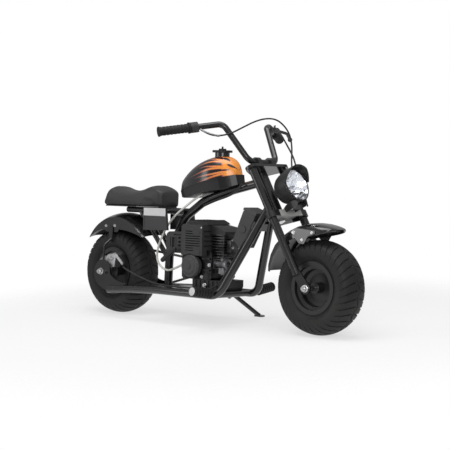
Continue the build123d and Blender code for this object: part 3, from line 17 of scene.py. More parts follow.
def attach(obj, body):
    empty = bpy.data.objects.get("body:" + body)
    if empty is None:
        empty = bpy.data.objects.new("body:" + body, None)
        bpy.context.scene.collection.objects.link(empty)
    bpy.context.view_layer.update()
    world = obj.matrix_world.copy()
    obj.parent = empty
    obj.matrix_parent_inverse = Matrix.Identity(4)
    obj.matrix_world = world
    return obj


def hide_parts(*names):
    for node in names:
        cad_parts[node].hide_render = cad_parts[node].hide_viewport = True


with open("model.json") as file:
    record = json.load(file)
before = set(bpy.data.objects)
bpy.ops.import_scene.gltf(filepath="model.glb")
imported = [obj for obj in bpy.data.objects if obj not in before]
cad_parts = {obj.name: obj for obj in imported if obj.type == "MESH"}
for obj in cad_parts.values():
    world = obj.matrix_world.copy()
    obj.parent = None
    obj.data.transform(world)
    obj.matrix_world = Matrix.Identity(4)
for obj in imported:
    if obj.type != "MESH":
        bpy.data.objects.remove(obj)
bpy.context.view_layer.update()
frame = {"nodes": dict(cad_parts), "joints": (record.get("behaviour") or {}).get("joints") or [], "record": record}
nodes = frame["nodes"]
joints = {joint["name"]: joint for joint in frame["joints"]}
scene = bpy.context.scene
print("pieces in the frame:", len(nodes))

# %% [markdown]
# The bike leans on its side stand, but it is easier to think of it upright, in
# millimetres, with the rear axle at the origin, x forward, y to its left and z up. One
# matrix takes such a point to its parked place. It comes from the rear wheel's axle,
# which the frame gives as a point and a direction. A second one turns a point given in
# the raked fork's own directions to the upright bike.

# %% From the upright bike to the parked one
TYRE_RADIUS = 165.0
WHEELBASE = 1000.0
RAKE = math.radians(30.8)
rear_axle = joints["rear_wheel_spin"]
across = Vector(rear_axle["axis"])
LEAN = math.atan2(-across.z, across.y)
PARK = (
    Matrix.Translation(rear_axle["pos_m"])
    @ Matrix.Rotation(-LEAN, 4, "X")
    @ Matrix.Scale(0.001, 4)
)
UPRIGHT = PARK.inverted()
FORK = Matrix.Translation((WHEELBASE, 0, 0)) @ Matrix.Rotation(-RAKE, 4, "Y")
print("leans", round(math.degrees(LEAN), 2), "degrees")

# %% [markdown]
# The camera stands where the photographer's did: ahead of the bike on its right, a
# little above the tank, with a long lens. Its place was worked out in the upright
# bike's frame, so it is carried through the same matrix, and the bike looks upright
# in the picture while it leans on the floor.

# %% Camera
CAMERA_PLACE = Vector((3867.2, -3617.3, 346.5))
CAMERA_YAW, CAMERA_PITCH, CAMERA_ROLL = 2.3137, -0.0300, 0.0232
FOCAL_PIXELS, PHOTO_PIXELS = 1337.8, 450.0

ahead = Vector((
    math.cos(CAMERA_YAW) * math.cos(CAMERA_PITCH),
    math.sin(CAMERA_YAW) * math.cos(CAMERA_PITCH),
    math.sin(CAMERA_PITCH),
))
level = Vector((math.sin(CAMERA_YAW), -math.cos(CAMERA_YAW), 0))
upward = level.cross(ahead)
right = level * math.cos(CAMERA_ROLL) + upward * math.sin(CAMERA_ROLL)
above = upward * math.cos(CAMERA_ROLL) - level * math.sin(CAMERA_ROLL)
turn = Matrix((right, above, -ahead)).transposed().to_4x4()
lens = bpy.data.cameras.new("camera")
lens.sensor_width = 36.0
lens.lens = FOCAL_PIXELS / PHOTO_PIXELS * lens.sensor_width
lens.clip_end = 50.0
camera = bpy.data.objects.new("camera", lens)
camera.matrix_world = (
    Matrix.Translation(PARK @ CAMERA_PLACE) @ Matrix.Rotation(-LEAN, 4, "X") @ turn
)
scene.collection.objects.link(camera)
scene.camera = camera
print("lens", round(lens.lens, 1), "mm")

# %% [markdown]
# Shader maths reads better as Python. A Signal wraps one number socket, and the
# operators written on it add Math nodes, so `1 - mask * 0.5` builds the nodes that
# it says. A Finish is one material, with one method that adds any other node.

# %% Signals and finishes
class Signal:
    """A number that changes over a surface."""

    def __init__(self, finish, socket):
        self.finish = finish
        self.socket = socket

    def math(self, operation, *values):
        node = self.finish.add("ShaderNodeMath", {"operation": operation}, dict(enumerate(values)))
        return Signal(self.finish, node.outputs[0])

    def __add__(self, other):
        return self.math("ADD", self, other)

    def __sub__(self, other):
        return self.math("SUBTRACT", self, other)

    def __rsub__(self, other):
        return self.math("SUBTRACT", other, self)

    def __mul__(self, other):
        return self.math("MULTIPLY", self, other)

    def __truediv__(self, other):
        return self.math("DIVIDE", self, other)

    def __pow__(self, other):
        return self.math("POWER", self, other)

    def lower(self, other):
        return self.math("MINIMUM", self, other)

    def higher(self, other):
        return self.math("MAXIMUM", self, other)

    def size(self):
        return self.math("ABSOLUTE", self)

    def sine(self):
        return self.math("SINE", self)

    def angle_over(self, other):
        return self.math("ARCTAN2", self, other)

    def rise(self, low, high):
        """Smooth step from 0 below the first value to 1 above the second."""
        sockets = {"Value": self, "From Min": low, "From Max": high}
        node = self.finish.add("ShaderNodeMapRange", {"interpolation_type": "SMOOTHSTEP"}, sockets)
        return Signal(self.finish, node.outputs["Result"])


def feed(tree, socket, value):
    """Links a signal or a socket to a node's socket, or sets that socket's own value."""
    if isinstance(value, Signal):
        value = value.socket
    if isinstance(value, bpy.types.NodeSocket):
        tree.links.new(value, socket)
    else:
        socket.default_value = value


def add_node(tree, kind, settings=None, sockets=None):
    node = tree.nodes.new(kind)
    for name, value in (settings or {}).items():
        setattr(node, name, value)
    for name, value in (sockets or {}).items():
        feed(tree, node.inputs[name], value)
    return node


class Finish:
    """One material round a Principled shader."""

    def __init__(self, name, **constants):
        self.material = bpy.data.materials.new(name)
        self.material.use_nodes = True
        self.tree = self.material.node_tree
        self.tree.nodes.clear()
        self.shader = self.add("ShaderNodeBsdfPrincipled")
        surface = {"Surface": self.shader.outputs[0]}
        self.output = self.add("ShaderNodeOutputMaterial", {}, surface)
        self.sockets = {s.name.lower().replace(" ", "_"): s for s in self.shader.inputs}
        self.paint(**constants)
        self.place = self.add("ShaderNodeTexCoord").outputs["Object"]

    def add(self, kind, settings=None, sockets=None):
        return add_node(self.tree, kind, settings, sockets)

    def noise(self, scale, detail):
        sockets = {"Vector": self.place, "Scale": scale, "Detail": detail}
        return Signal(self, self.add("ShaderNodeTexNoise", {}, sockets).outputs["Fac"])

    def cells(self, scale):
        sockets = {"Vector": self.place, "Scale": scale}
        return Signal(self, self.add("ShaderNodeTexVoronoi", {}, sockets).outputs["Distance"])

    def upright(self):
        """Three signals: the point's place on the upright bike, in millimetres."""
        sockets = {
            "Vector": self.place,
            "Location": UPRIGHT.to_translation(),
            "Rotation": UPRIGHT.to_euler(),
            "Scale": UPRIGHT.to_scale(),
        }
        mapped = self.add("ShaderNodeMapping", {}, sockets)
        parts = self.add("ShaderNodeSeparateXYZ", {}, {"Vector": mapped.outputs[0]})
        return [Signal(self, socket) for socket in parts.outputs]

    def mix(self, share, first, second):
        """Colour between two colours."""
        node = self.add("ShaderNodeMix", {"data_type": "RGBA"})
        feed(self.tree, node.inputs["Factor"], share)
        for name, colour in (("A", first), ("B", second)):
            socket = [s for s in node.inputs if s.name == name and s.type == "RGBA"][0]
            feed(self.tree, socket, (*colour, 1) if isinstance(colour, tuple) else colour)
        return [s for s in node.outputs if s.type == "RGBA"][0]

    def paint(self, **sockets):
        for name, value in sockets.items():
            feed(self.tree, self.sockets[name], value)

    def bump(self, height, distance, strength):
        sockets = {"Height": height, "Distance": distance, "Strength": strength}
        self.paint(normal=self.add("ShaderNodeBump", {}, sockets).outputs["Normal"])


# %% [markdown]
# The finishes. Black on black is told apart by its gloss: wet paint on the tubes,
# satin on pressed steel, a moulded grain on the plastic, and dull rubber. Each one
# has a faint change of tone and of gloss, because nothing real is even.

# %% Paint, plastic and rubber
def black_paint(name, tone, roughness, coat):
    finish = Finish(name, coat_roughness=0.05, specular_ior_level=0.4)
    cloud = finish.noise(14, 4)
    speck = finish.noise(900, 2)
    finish.paint(
        base_color=finish.mix(cloud, (tone, tone, tone * 1.03), (tone * 1.5,) * 3),
        roughness=cloud * 0.1 + roughness + speck * 0.04,
        coat_weight=cloud * 0.15 + coat,
    )
    finish.bump(finish.noise(260, 2), 0.00008, 0.5)
    return finish.material


def moulded_plastic(name, tone, roughness, grain=1500):
    finish = Finish(name, specular_ior_level=0.3)
    cloud = finish.noise(9, 3)
    speck = finish.cells(grain)
    finish.paint(
        base_color=finish.mix(cloud, (tone, tone, tone * 1.04), (tone * 1.35,) * 3),
        roughness=cloud * 0.12 + roughness,
    )
    finish.bump(speck, 0.0002, 0.35)
    return finish.material


def rubber(name, tone):
    finish = Finish(name, specular_ior_level=0.25)
    cloud = finish.noise(18, 4)
    dust = finish.noise(5, 5).rise(0.45, 0.75)
    finish.paint(
        base_color=finish.mix(dust, (tone, tone, tone), (tone * 1.5, tone * 1.47, tone * 1.43)),
        roughness=cloud * 0.18 + 0.5,
    )
    finish.bump(finish.noise(700, 3), 0.0002, 0.5)
    return finish.material


FRAME_PAINT = black_paint("frame gloss black", 0.005, 0.2, 0.5)
SATIN_PAINT = black_paint("satin black", 0.012, 0.36, 0.1)
FENDER_PAINT = black_paint("fender gloss black", 0.007, 0.16, 0.7)
BOX_PAINT = black_paint("charcoal case", 0.032, 0.45, 0.0)
PLASTIC = moulded_plastic("charcoal plastic", 0.03, 0.45)
SMOOTH_PLASTIC = moulded_plastic("smooth black plastic", 0.018, 0.35, 2200)
COVER_PLASTIC = moulded_plastic("grey cover plastic", 0.045, 0.5)
TYRE_RUBBER = rubber("tyre rubber", 0.016)
GRIP_RUBBER = rubber("grip rubber", 0.014)
SEAT_VINYL = moulded_plastic("seat vinyl", 0.032, 0.42, 900)

# %% Metals, lens and hose
def plated_steel(name, colour, roughness):
    finish = Finish(name, metallic=1.0)
    cloud = finish.noise(40, 3)
    worn = finish.noise(300, 3)
    dark = tuple(channel * 0.72 for channel in colour)
    finish.paint(
        base_color=finish.mix(cloud, dark, colour),
        roughness=worn * 0.16 + roughness,
    )
    return finish.material


def cast_metal(name, colour):
    finish = Finish(name, metallic=1.0)
    grime = finish.noise(30, 5).rise(0.4, 0.7)
    finish.paint(
        base_color=finish.mix(grime, colour, tuple(channel * 0.4 for channel in colour)),
        roughness=grime * 0.2 + 0.38,
    )
    finish.bump(finish.noise(900, 3), 0.0004, 0.5)
    return finish.material


def clear_plastic(name, colour, alpha):
    finish = Finish(name, alpha=alpha, specular_ior_level=0.6)
    cloud = finish.noise(60, 2)
    finish.paint(
        base_color=finish.mix(cloud, colour, tuple(channel * 0.85 for channel in colour)),
        roughness=cloud * 0.1 + 0.12,
    )
    return finish.material


def lamp_glass():
    finish = Finish("lamp lens", transmission_weight=1.0, ior=1.45, base_color=(0.95, 0.97, 1, 1))
    finish.paint(roughness=finish.noise(40, 2) * 0.04 + 0.01)
    return finish.material


BRIGHT_STEEL = plated_steel("zinc plated steel", (0.78, 0.78, 0.79), 0.16)
DARK_STEEL = plated_steel("oiled dark steel", (0.14, 0.135, 0.13), 0.3)
DISC_STEEL = plated_steel("brushed disc steel", (0.3, 0.3, 0.31), 0.28)
CAST = cast_metal("cast aluminium", (0.55, 0.55, 0.56))
DARK_CAST = cast_metal("black cast metal", (0.05, 0.05, 0.052))
FIN_CAST = cast_metal("painted cast fins", (0.11, 0.11, 0.112))
CARBURETTOR_CAST = cast_metal("soiled cast metal", (0.26, 0.26, 0.27))
MIRROR = plated_steel("lamp mirror", (0.95, 0.95, 0.96), 0.04)
HOSE = clear_plastic("clear fuel hose", (0.72, 0.73, 0.68), 0.8)
PALE_PLATE = moulded_plastic("pale blank plate", 0.5, 0.35)
PLATE_PAINT = moulded_plastic("grey primed plate", 0.16, 0.4)
GLASS = lamp_glass()


# %% [markdown]
# Two parts have a finish that changes across them. The lower clamp is a pale plated
# channel between black bosses. Each side panel carries a pale blank label along its top.
# The right place on the surface comes from the point's place on the upright bike.

# %% Two-tone finishes
CHANNEL_HALF = 58.0
LABEL_HEIGHTS = (223.0, 253.0)
LABEL_LENGTH = (195.0, 312.0)
LABEL_EDGE = 0.6
PANEL_SIDE = 75.5


def two_tone(name, where, dark, pale, roughness):
    finish = Finish(name)
    share = where(finish)
    cloud = finish.noise(30, 3)
    shade = finish.mix(cloud, tuple(c * 0.85 for c in pale), pale)
    finish.paint(base_color=finish.mix(share, dark, shade), roughness=cloud * 0.1 + roughness)
    finish.bump(finish.noise(500, 2), 0.0001, 0.4)
    return finish.material


def between_legs(finish):
    _, left, _ = finish.upright()
    return 1 - left.size().rise(CHANNEL_HALF, CHANNEL_HALF + 2)


def between(signal, low, high):
    """1 between two values, with a narrow soft edge inside each, and 0 outside them."""
    return signal.rise(low, low + LABEL_EDGE) * (1 - signal.rise(high - LABEL_EDGE, high))


def label_band(finish):
    """1 on a level band of the panels' outside, and 0 around it."""
    forward, left, height = finish.upright()
    outside = left.size().rise(PANEL_SIDE, PANEL_SIDE + 0.5)
    return between(height, *LABEL_HEIGHTS) * between(forward, *LABEL_LENGTH) * outside


CLAMP_FINISH = two_tone("pale clamp", between_legs, (0.01, 0.01, 0.01), (0.42, 0.42, 0.41), 0.3)
PANEL_FINISH = two_tone("labelled panel", label_band, (0.024, 0.024, 0.026), (0.62, 0.61, 0.62), 0.38)

# %% [markdown]
# The tank's flames are a traditional hot-rod pattern, painted by formula. A point on the
# tank has two coordinates: how far it is from tail to nose, and how far round it is
# from the seam to the ridge. Each tongue starts broad at the nose and narrows to a
# tip, and a few dark teardrops are left open between them. The distance inside the
# pattern gives a red edge and an orange heart.

# %% Flames
TANK_TAIL = (325.0, 317.0)
TANK_TILT = math.radians(13.0)
TANK_LENGTH = 295.9
SEAM_TO_SHOULDER = 16.0
# Columns: tip's place along the tank, tip's and root's place round it, half width, bend
TONGUES = [
    (0.40, -0.12, -0.06, 0.06, 0.02),
    (0.43, 0.02, 0.06, 0.06, -0.02),
    (0.33, 0.17, 0.20, 0.065, 0.03),
    (0.53, 0.29, 0.33, 0.06, -0.03),
    (0.42, 0.46, 0.46, 0.065, 0.03),
    (0.60, 0.60, 0.60, 0.07, -0.03),
    (0.50, 0.78, 0.74, 0.08, 0.03),
    (0.62, 0.95, 0.92, 0.08, 0.0),
]
# Columns: centre along and round the tank, half length and half height
TEARDROPS = [
    (0.958, 0.42, 0.034, 0.10),
    (0.895, 0.11, 0.045, 0.04),
    (0.76, 0.38, 0.065, 0.04),
    (0.69, -0.025, 0.055, 0.02),
    (0.89, 0.70, 0.04, 0.08),
]


def tank_place(finish):
    """Three signals: share of the tank's length, share of the way round, height over its shoulder."""
    forward, left, height = finish.upright()
    x = forward - TANK_TAIL[0]
    z = height - TANK_TAIL[1]
    along = (x * math.cos(TANK_TILT) + z * math.sin(TANK_TILT)) / TANK_LENGTH
    over_shoulder = z * math.cos(TANK_TILT) - x * math.sin(TANK_TILT) - SEAM_TO_SHOULDER
    round_it = over_shoulder.angle_over(left.size()) / (math.pi / 2)
    return along, round_it, over_shoulder


def flame_paint():
    finish = Finish("flame paint", coat_roughness=0.16, coat_weight=0.45, specular_ior_level=0.35)
    along, round_it, over_shoulder = tank_place(finish)
    depth = along - 2
    for tip, tip_round, root_round, half, bend in TONGUES:
        behind = ((1 - along) / (1 - tip)).higher(0)
        centre = behind * (tip_round - root_round) + root_round + (behind * math.pi * 1.6).sine() * bend
        width = (1 - behind).higher(0) ** 0.75 * half - behind.rise(0.98, 1.02)
        depth = depth.higher(width - (round_it - centre).size())
    depth = depth.higher((along - 0.86) * 1.2)
    for at, at_round, long, high in TEARDROPS:
        tail = ((at - along) / long).higher(-1)
        slim = (round_it - at_round) / high
        inside = 1 - ((along - at) / long) ** 2 - slim ** 2 * (tail * 0.5 + 1.2)
        depth = depth.lower(inside * -0.05)
    inside = depth.rise(0.0, 0.004)
    heart = depth.rise(0.01, 0.034)
    hot = along.rise(0.45, 0.85)
    edge = finish.mix(hot, (0.14, 0.05, 0.045), (0.5, 0.13, 0.075))
    body = finish.mix(hot, (0.28, 0.075, 0.05), (0.86, 0.3, 0.045))
    flames = finish.mix(heart, edge, body)
    black = finish.mix(along.rise(0.0, 0.8), (0.02, 0.02, 0.022), (0.008, 0.008, 0.009))
    clear_of_seam = over_shoulder.rise(-14.5, -13.5)
    finish.paint(
        base_color=finish.mix(inside * clear_of_seam, black, flames),
        roughness=finish.noise(12, 3) * 0.08 + 0.2,
    )
    return finish.material


FLAME_PAINT = flame_paint()


def tank_skirt_paint():
    """Satin black lower shell, a little darker and glossier at its nose."""
    finish = Finish("tank skirt", coat_roughness=0.05, specular_ior_level=0.4)
    along, _, _ = tank_place(finish)
    ahead_of_edge = along.rise(0.8, 0.81)
    finish.paint(
        base_color=finish.mix(ahead_of_edge, (0.018, 0.018, 0.02), (0.004, 0.004, 0.004)),
        roughness=0.42 - ahead_of_edge * 0.06,
        coat_weight=ahead_of_edge * 0.05 + 0.1,
    )
    return finish.material


TANK_SKIRT = tank_skirt_paint()

# %% Give each part its finish
FINISH_OF_SLOT = {
    "painted_frame": FRAME_PAINT,
    "tyre_rubber": TYRE_RUBBER,
    "grip_rubber": GRIP_RUBBER,
    "rim_paint": SATIN_PAINT,
    "tank_paint": FLAME_PAINT,
    "seat_vinyl": SEAT_VINYL,
    "black_plastic": PLASTIC,
    "cast_metal": CAST,
    "bright_steel": BRIGHT_STEEL,
    "clear_lens": GLASS,
    "clear_hose": HOSE,
    "black_cable": SMOOTH_PLASTIC,
}
FINISH_OF_NODE = {
    "chain": DARK_STEEL,
    "rear_sprocket": DARK_STEEL,
    "drive_sprocket": DARK_STEEL,
    "brake_disc": DISC_STEEL,
    "rear_fender": FENDER_PAINT,
    "battery_box": BOX_PAINT,
    "headlamp_visor": SMOOTH_PLASTIC,
    "shroud_cap": SMOOTH_PLASTIC,
    "air_filter": COVER_PLASTIC,
    "starter_handle": SMOOTH_PLASTIC,
    "sump": SMOOTH_PLASTIC,
    "engine_block": DARK_CAST,
    "cylinder_fins": FIN_CAST,
    "carburettor": CARBURETTOR_CAST,
    "headlamp_bracket": SATIN_PAINT,
    "lower_clamp": CLAMP_FINISH,
    "side_panels": PANEL_FINISH,
    "stem": BRIGHT_STEEL,
    "risers": SATIN_PAINT,
    "fuel_cap": SMOOTH_PLASTIC,
}
for part in frame["record"]["subparts"]:
    materials = nodes[part["node"]].data.materials
    materials.clear()
    materials.append(FINISH_OF_NODE.get(part["node"], FINISH_OF_SLOT[part["material_slot"]]))

# %% [markdown]
# New pieces are drawn on the upright bike, in millimetres, and carried to the parked one
# in their mesh, so every object stays at the origin.

# %% Make and place a piece
def add_piece(name, mesh, material, body, sharp=40):
    """Makes an object of a mesh that is already in its parked place."""
    mesh.materials.clear()
    mesh.materials.append(material)
    mesh.polygons.foreach_set("use_smooth", [True] * len(mesh.polygons))
    mesh.set_sharp_from_angle(angle=math.radians(sharp))
    piece = bpy.data.objects.new(name, mesh)
    scene.collection.objects.link(piece)
    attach(piece, body)
    return piece


def merge_points(mesh):
    """Joins the mesh's doubled points and turns its faces outward."""
    work = bmesh.new()
    work.from_mesh(mesh)
    bmesh.ops.remove_doubles(work, verts=work.verts, dist=1e-6)
    bmesh.ops.recalc_face_normals(work, faces=work.faces)
    work.to_mesh(mesh)
    work.free()


def drawn_mesh(name, points, faces, place=PARK):
    """Mesh of points in millimetres, carried to its place, with its faces turned outward."""
    mesh = bpy.data.meshes.new(name)
    mesh.from_pydata([place @ Vector(point) for point in points], [], faces)
    merge_points(mesh)
    return mesh


def grid_faces(rows, columns, rows_close=False, columns_close=False):
    """Faces between the neighbouring points of a grid, which may close on itself either way."""
    faces = []
    for row in range(rows if rows_close else rows - 1):
        here, there = row * columns, (row + 1) % rows * columns
        for column in range(columns if columns_close else columns - 1):
            beside = (column + 1) % columns
            faces.append((here + column, there + column, there + beside, here + beside))
    return faces


def turned_mesh(name, outline, place, steps=64):
    """Solid turned about z from an outline of (radius, height) points that ends on the axis."""
    points = []
    for step in range(steps):
        angle = 2 * math.pi * step / steps
        points += [(r * math.cos(angle), r * math.sin(angle), z) for r, z in outline]
    return drawn_mesh(name, points, grid_faces(steps, len(outline), rows_close=True), place)


def as_mesh(source):
    """Plain mesh of an object with its modifiers, which is then removed."""
    bpy.context.view_layer.update()
    depsgraph = bpy.context.evaluated_depsgraph_get()
    mesh = bpy.data.meshes.new_from_object(source.evaluated_get(depsgraph))
    bpy.data.objects.remove(source)
    return mesh


def facing(place, direction):
    """Frame at a point whose z looks along a direction, on the upright bike."""
    return Matrix.Translation(place) @ Vector(direction).to_track_quat("Z", "Y").to_matrix().to_4x4()


# %% [markdown]
# A control cable is a steel wire in a sleeve, stiff enough to hold one smooth curve
# between its ends. Each is a spline through the air with a round section. The points
# are the same as the part's own route, so the cable runs where its solid does.

# %% Cables and hose
# Columns: points on the upright bike, body, radius, length in metres, finish, slot, stiffness
CORDS = {
    "throttle_cable": (
        [
            (613, -214, 540), (634, -196, 522), (655, -160, 518), (670, -118, 528),
            (684, -70, 552), (692, -10, 578), (702, 40, 590), (709, 85, 588),
            (718, 118, 567), (728, 137, 538), (738, 138, 505), (750, 127, 472),
            (768, 104, 440), (790, 82, 400), (816, 72, 352), (846, 66, 280),
        ],
        "steering", 3.0, 0.709, SMOOTH_PLASTIC, "black_cable", "stiff",
    ),
    "lever_cable": (
        [
            (651, 146, 568), (664, 122, 564), (690, 104, 556), (718, 99, 537),
            (744, 101, 500), (768, 112, 456), (790, 104, 419), (822, 98, 359),
            (850, 102, 276),
        ],
        "steering", 3.0, 0.387, SMOOTH_PLASTIC, "black_cable", "stiff",
    ),
    "brake_cable": (
        [
            (122, -111, 24), (134, -109, 16), (202, -108, -6), (268, -107, -24),
            (330, -107, -33), (560, -107, -33), (598, -104, -22), (624, -92, 8),
            (672, -58, 118), (686, -48, 148),
        ],
        "frame", 3.0, 0.685, SMOOTH_PLASTIC, "black_cable", "stiff",
    ),
    "fuel_hose": (
        [
            (466, -40, 309), (433, -40, 295), (382, -40, 264), (325, -42, 226),
            (279, -44, 174), (248, -44, 120), (233, -42, 73), (245, -42, 38),
            (284, -40, 16), (330, -40, 26), (385, -40, 51),
        ],
        "frame", 4.0, 0.528, HOSE, "clear_hose", "medium",
    ),
    "wiring_loom": (
        [
            (650, -30, 350), (633, -28, 332), (604, -26, 316), (566, -26, 302),
            (510, -26, 287), (460, -26, 268),
        ],
        "frame", 5.0, 0.21, SMOOTH_PLASTIC, "black_cable", "medium",
    ),
}


def spline_through(name, points, radius):
    """Curve object with one smooth spline, in metres, at its parked place."""
    curve = bpy.data.curves.new(name, "CURVE")
    curve.dimensions = "3D"
    spline = curve.splines.new("NURBS")
    spline.points.add(len(points) - 1)
    for slot_point, point in zip(spline.points, points):
        slot_point.co = (*(PARK @ Vector(point)), 1)
    spline.order_u = 3
    spline.use_endpoint_u = True
    spline.resolution_u = 12
    curve.bevel_depth = radius / 1000
    curve.bevel_resolution = 3
    curve.use_fill_caps = True
    piece = bpy.data.objects.new(name, curve)
    scene.collection.objects.link(piece)
    return piece


def drawn_length(points):
    """Length of a cord along its smooth line, in metres."""
    line = as_mesh(spline_through("line", points, 0))
    places = [vertex.co for vertex in line.vertices]
    return sum((b - a).length for a, b in zip(places, places[1:]))


for name, (points, body, radius, length, material, slot, stiffness) in CORDS.items():
    piece = spline_through(name + "_sleeve", points, radius)
    piece.data.materials.append(material)
    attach(piece, body)
    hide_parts(name)
    print(name, round(drawn_length(points), 3), "m, stated", length)

# %% [markdown]
# Fat turf tyres. The real tread is cut from one round body, so the mesh is a grid round
# the wheel whose lines follow the grooves: they sweep back from the crown to the
# shoulder, and one wavy groove runs round the middle. Only the lines on a groove's
# floor are pushed in, which keeps the edges crisp with few faces.

# %% Tyres
CROWN_RADIUS = 100.0
CROWN_HALF = 50.0
BEAD = (45.7, 95.0)
WIDEST = (62.0, 128.5)
BEAD_SEAT = 80.3
GROOVES = 36
GROOVE_DEPTH = 3.6
GROOVE_SWEEP = 1.25
SWEEP_REACH = 84
SWEEP_POWER = 1.8
MIDDLE_DEPTH = 3.0
MIDDLE_SWAY = 4.0
MIDDLE_HALF = 3.4
MIDDLE_FLOOR_HALF = 1.8
SWAY_REACH = 22
# Shares of one groove's pitch. The lines before FLOOR_SHARE are on the groove's floor.
PITCH_LINES = [0.0, 0.14, 0.19, 0.45, 0.7, 0.95]
FLOOR_SHARE = 0.15
# Distance from the crown's middle, and depth of the side grooves there
ACROSS_LINES = [
    (7, 0), (11, 1), (18, 1), (26, 1), (34, 1), (42, 1), (50, 1), (57, 0.9), (64, 0.7),
    (71, 0.45), (78, 0.2), (84, 0), (91, 0), (95, -0.3), (98, -0.3), (102, 0), (108, 0),
]


def circle_through(a, b, c):
    """Centre and radius of the circle through three points."""
    (ax, ay), (bx, by), (cx, cy) = a, b, c
    d = 2 * (ax * (by - cy) + bx * (cy - ay) + cx * (ay - by))
    sa, sb, sc = ax * ax + ay * ay, bx * bx + by * by, cx * cx + cy * cy
    x = (sa * (by - cy) + sb * (cy - ay) + sc * (ay - by)) / d
    y = (sa * (cx - bx) + sb * (ax - cx) + sc * (bx - ax)) / d
    return (x, y), math.hypot(ax - x, ay - y)


SHOULDER = (CROWN_HALF, TYRE_RADIUS - CROWN_RADIUS + math.sqrt(CROWN_RADIUS ** 2 - CROWN_HALF ** 2))
CROWN_LENGTH = CROWN_RADIUS * math.asin(CROWN_HALF / CROWN_RADIUS)
WALL_CENTRE, WALL_RADIUS = circle_through(BEAD, WIDEST, SHOULDER)
WALL_START = math.atan2(SHOULDER[1] - WALL_CENTRE[1], SHOULDER[0] - WALL_CENTRE[0])


def tyre_surface(side, distance):
    """Place (left, radius) and outward direction at a distance from the crown's middle."""
    if distance <= CROWN_LENGTH:
        angle = math.pi / 2 - distance / CROWN_RADIUS
        centre, radius = (0.0, TYRE_RADIUS - CROWN_RADIUS), CROWN_RADIUS
    else:
        angle = WALL_START - (distance - CROWN_LENGTH) / WALL_RADIUS
        centre, radius = WALL_CENTRE, WALL_RADIUS
    out = (math.cos(angle), math.sin(angle))
    return (side * (centre[0] + radius * out[0]), centre[1] + radius * out[1]), (side * out[0], out[1])


def swept(turn_share, distance):
    """Turn of a groove's line at a distance from the crown's middle, in pitches."""
    return turn_share - GROOVE_SWEEP * (distance / SWEEP_REACH) ** SWEEP_POWER


def sunk_point(side, distance, sink, turned):
    """Point on the tyre's surface, pushed in, with its turn in pitches."""
    (left, radius), out = tyre_surface(side, distance)
    return left - out[0] * sink, radius - out[1] * sink, turned


def side_points(side, turn_share, sway):
    """Points from the middle groove to the bead on one side of the tyre."""
    on_floor = turn_share - math.floor(turn_share + 1e-6) < FLOOR_SHARE
    row = []
    for distance, depth in ACROSS_LINES:
        shifted = distance + side * sway * max(0.0, 1 - (distance - MIDDLE_HALF) / SWAY_REACH)
        sink = GROOVE_DEPTH * depth if on_floor or depth < 0 else 0
        row.append(sunk_point(side, shifted, sink, swept(turn_share, distance)))
    end = swept(turn_share, ACROSS_LINES[-1][0])
    return row + [(side * BEAD[0], BEAD[1], end), (side * BEAD[0], BEAD_SEAT, end)]


def tyre_row(turn_share):
    """Points across the tyre at one line round it, as (left, radius, turn in pitches)."""
    sway = MIDDLE_SWAY * math.cos(math.pi * turn_share)
    middle = []
    for offset in (-MIDDLE_HALF, -MIDDLE_FLOOR_HALF, MIDDLE_FLOOR_HALF, MIDDLE_HALF):
        side = 1 if offset + sway >= 0 else -1
        sink = MIDDLE_DEPTH if abs(offset) == MIDDLE_FLOOR_HALF else 0
        middle.append(sunk_point(side, abs(offset + sway), sink, turn_share))
    return side_points(-1, turn_share, sway)[::-1] + middle + side_points(1, turn_share, sway)


def tyre_mesh(name, centre):
    points = []
    rows = [tyre_row(groove + share) for groove in range(GROOVES) for share in PITCH_LINES]
    for left, radius, turned in [point for row in rows for point in row]:
        angle = 2 * math.pi * turned / GROOVES
        points.append((centre + radius * math.cos(angle), left, radius * math.sin(angle)))
    return drawn_mesh(name, points, grid_faces(len(rows), len(rows[0]), True, True))


for name, centre, body in (("rear_tyre", 0.0, "rear_wheel"), ("front_tyre", WHEELBASE, "front_wheel")):
    piece = add_piece(name + "_tread", tyre_mesh(name, centre), TYRE_RUBBER, body, 30)
    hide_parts(name)
    print(piece.name, len(piece.data.polygons), "faces")

# %% [markdown]
# Pressed sheet shows best with its true crown. The fender over the front wheel is a grid
# of points on two skins a sheet's thickness apart. Each row has its own angle round the
# wheel, its crown's radius, its edges' radius and its half width.

# %% Front fender
SHEET = 2.5
# Columns: angle round the wheel, radius of the crown, radius of the edges, half width
FENDER_ROWS = [
    (166, 207, 191, 60), (160, 213, 194, 62), (150, 221, 197, 63), (140, 226, 197, 64),
    (130, 227, 194, 64), (120, 226, 188, 64), (110, 225, 182, 64), (100, 224, 178, 64),
    (92, 223, 179, 64), (85, 222, 184, 63), (79, 221, 191, 61), (75, 220.5, 198, 57),
    (72, 220, 205, 50), (70, 219.5, 210, 40), (68.8, 219, 214, 24),
]
FENDER_STEPS = 16
# Powers that keep the crown flat until it rolls down to the edges
EDGE_ROLL, SIDE_BULGE = 2.6, 0.9


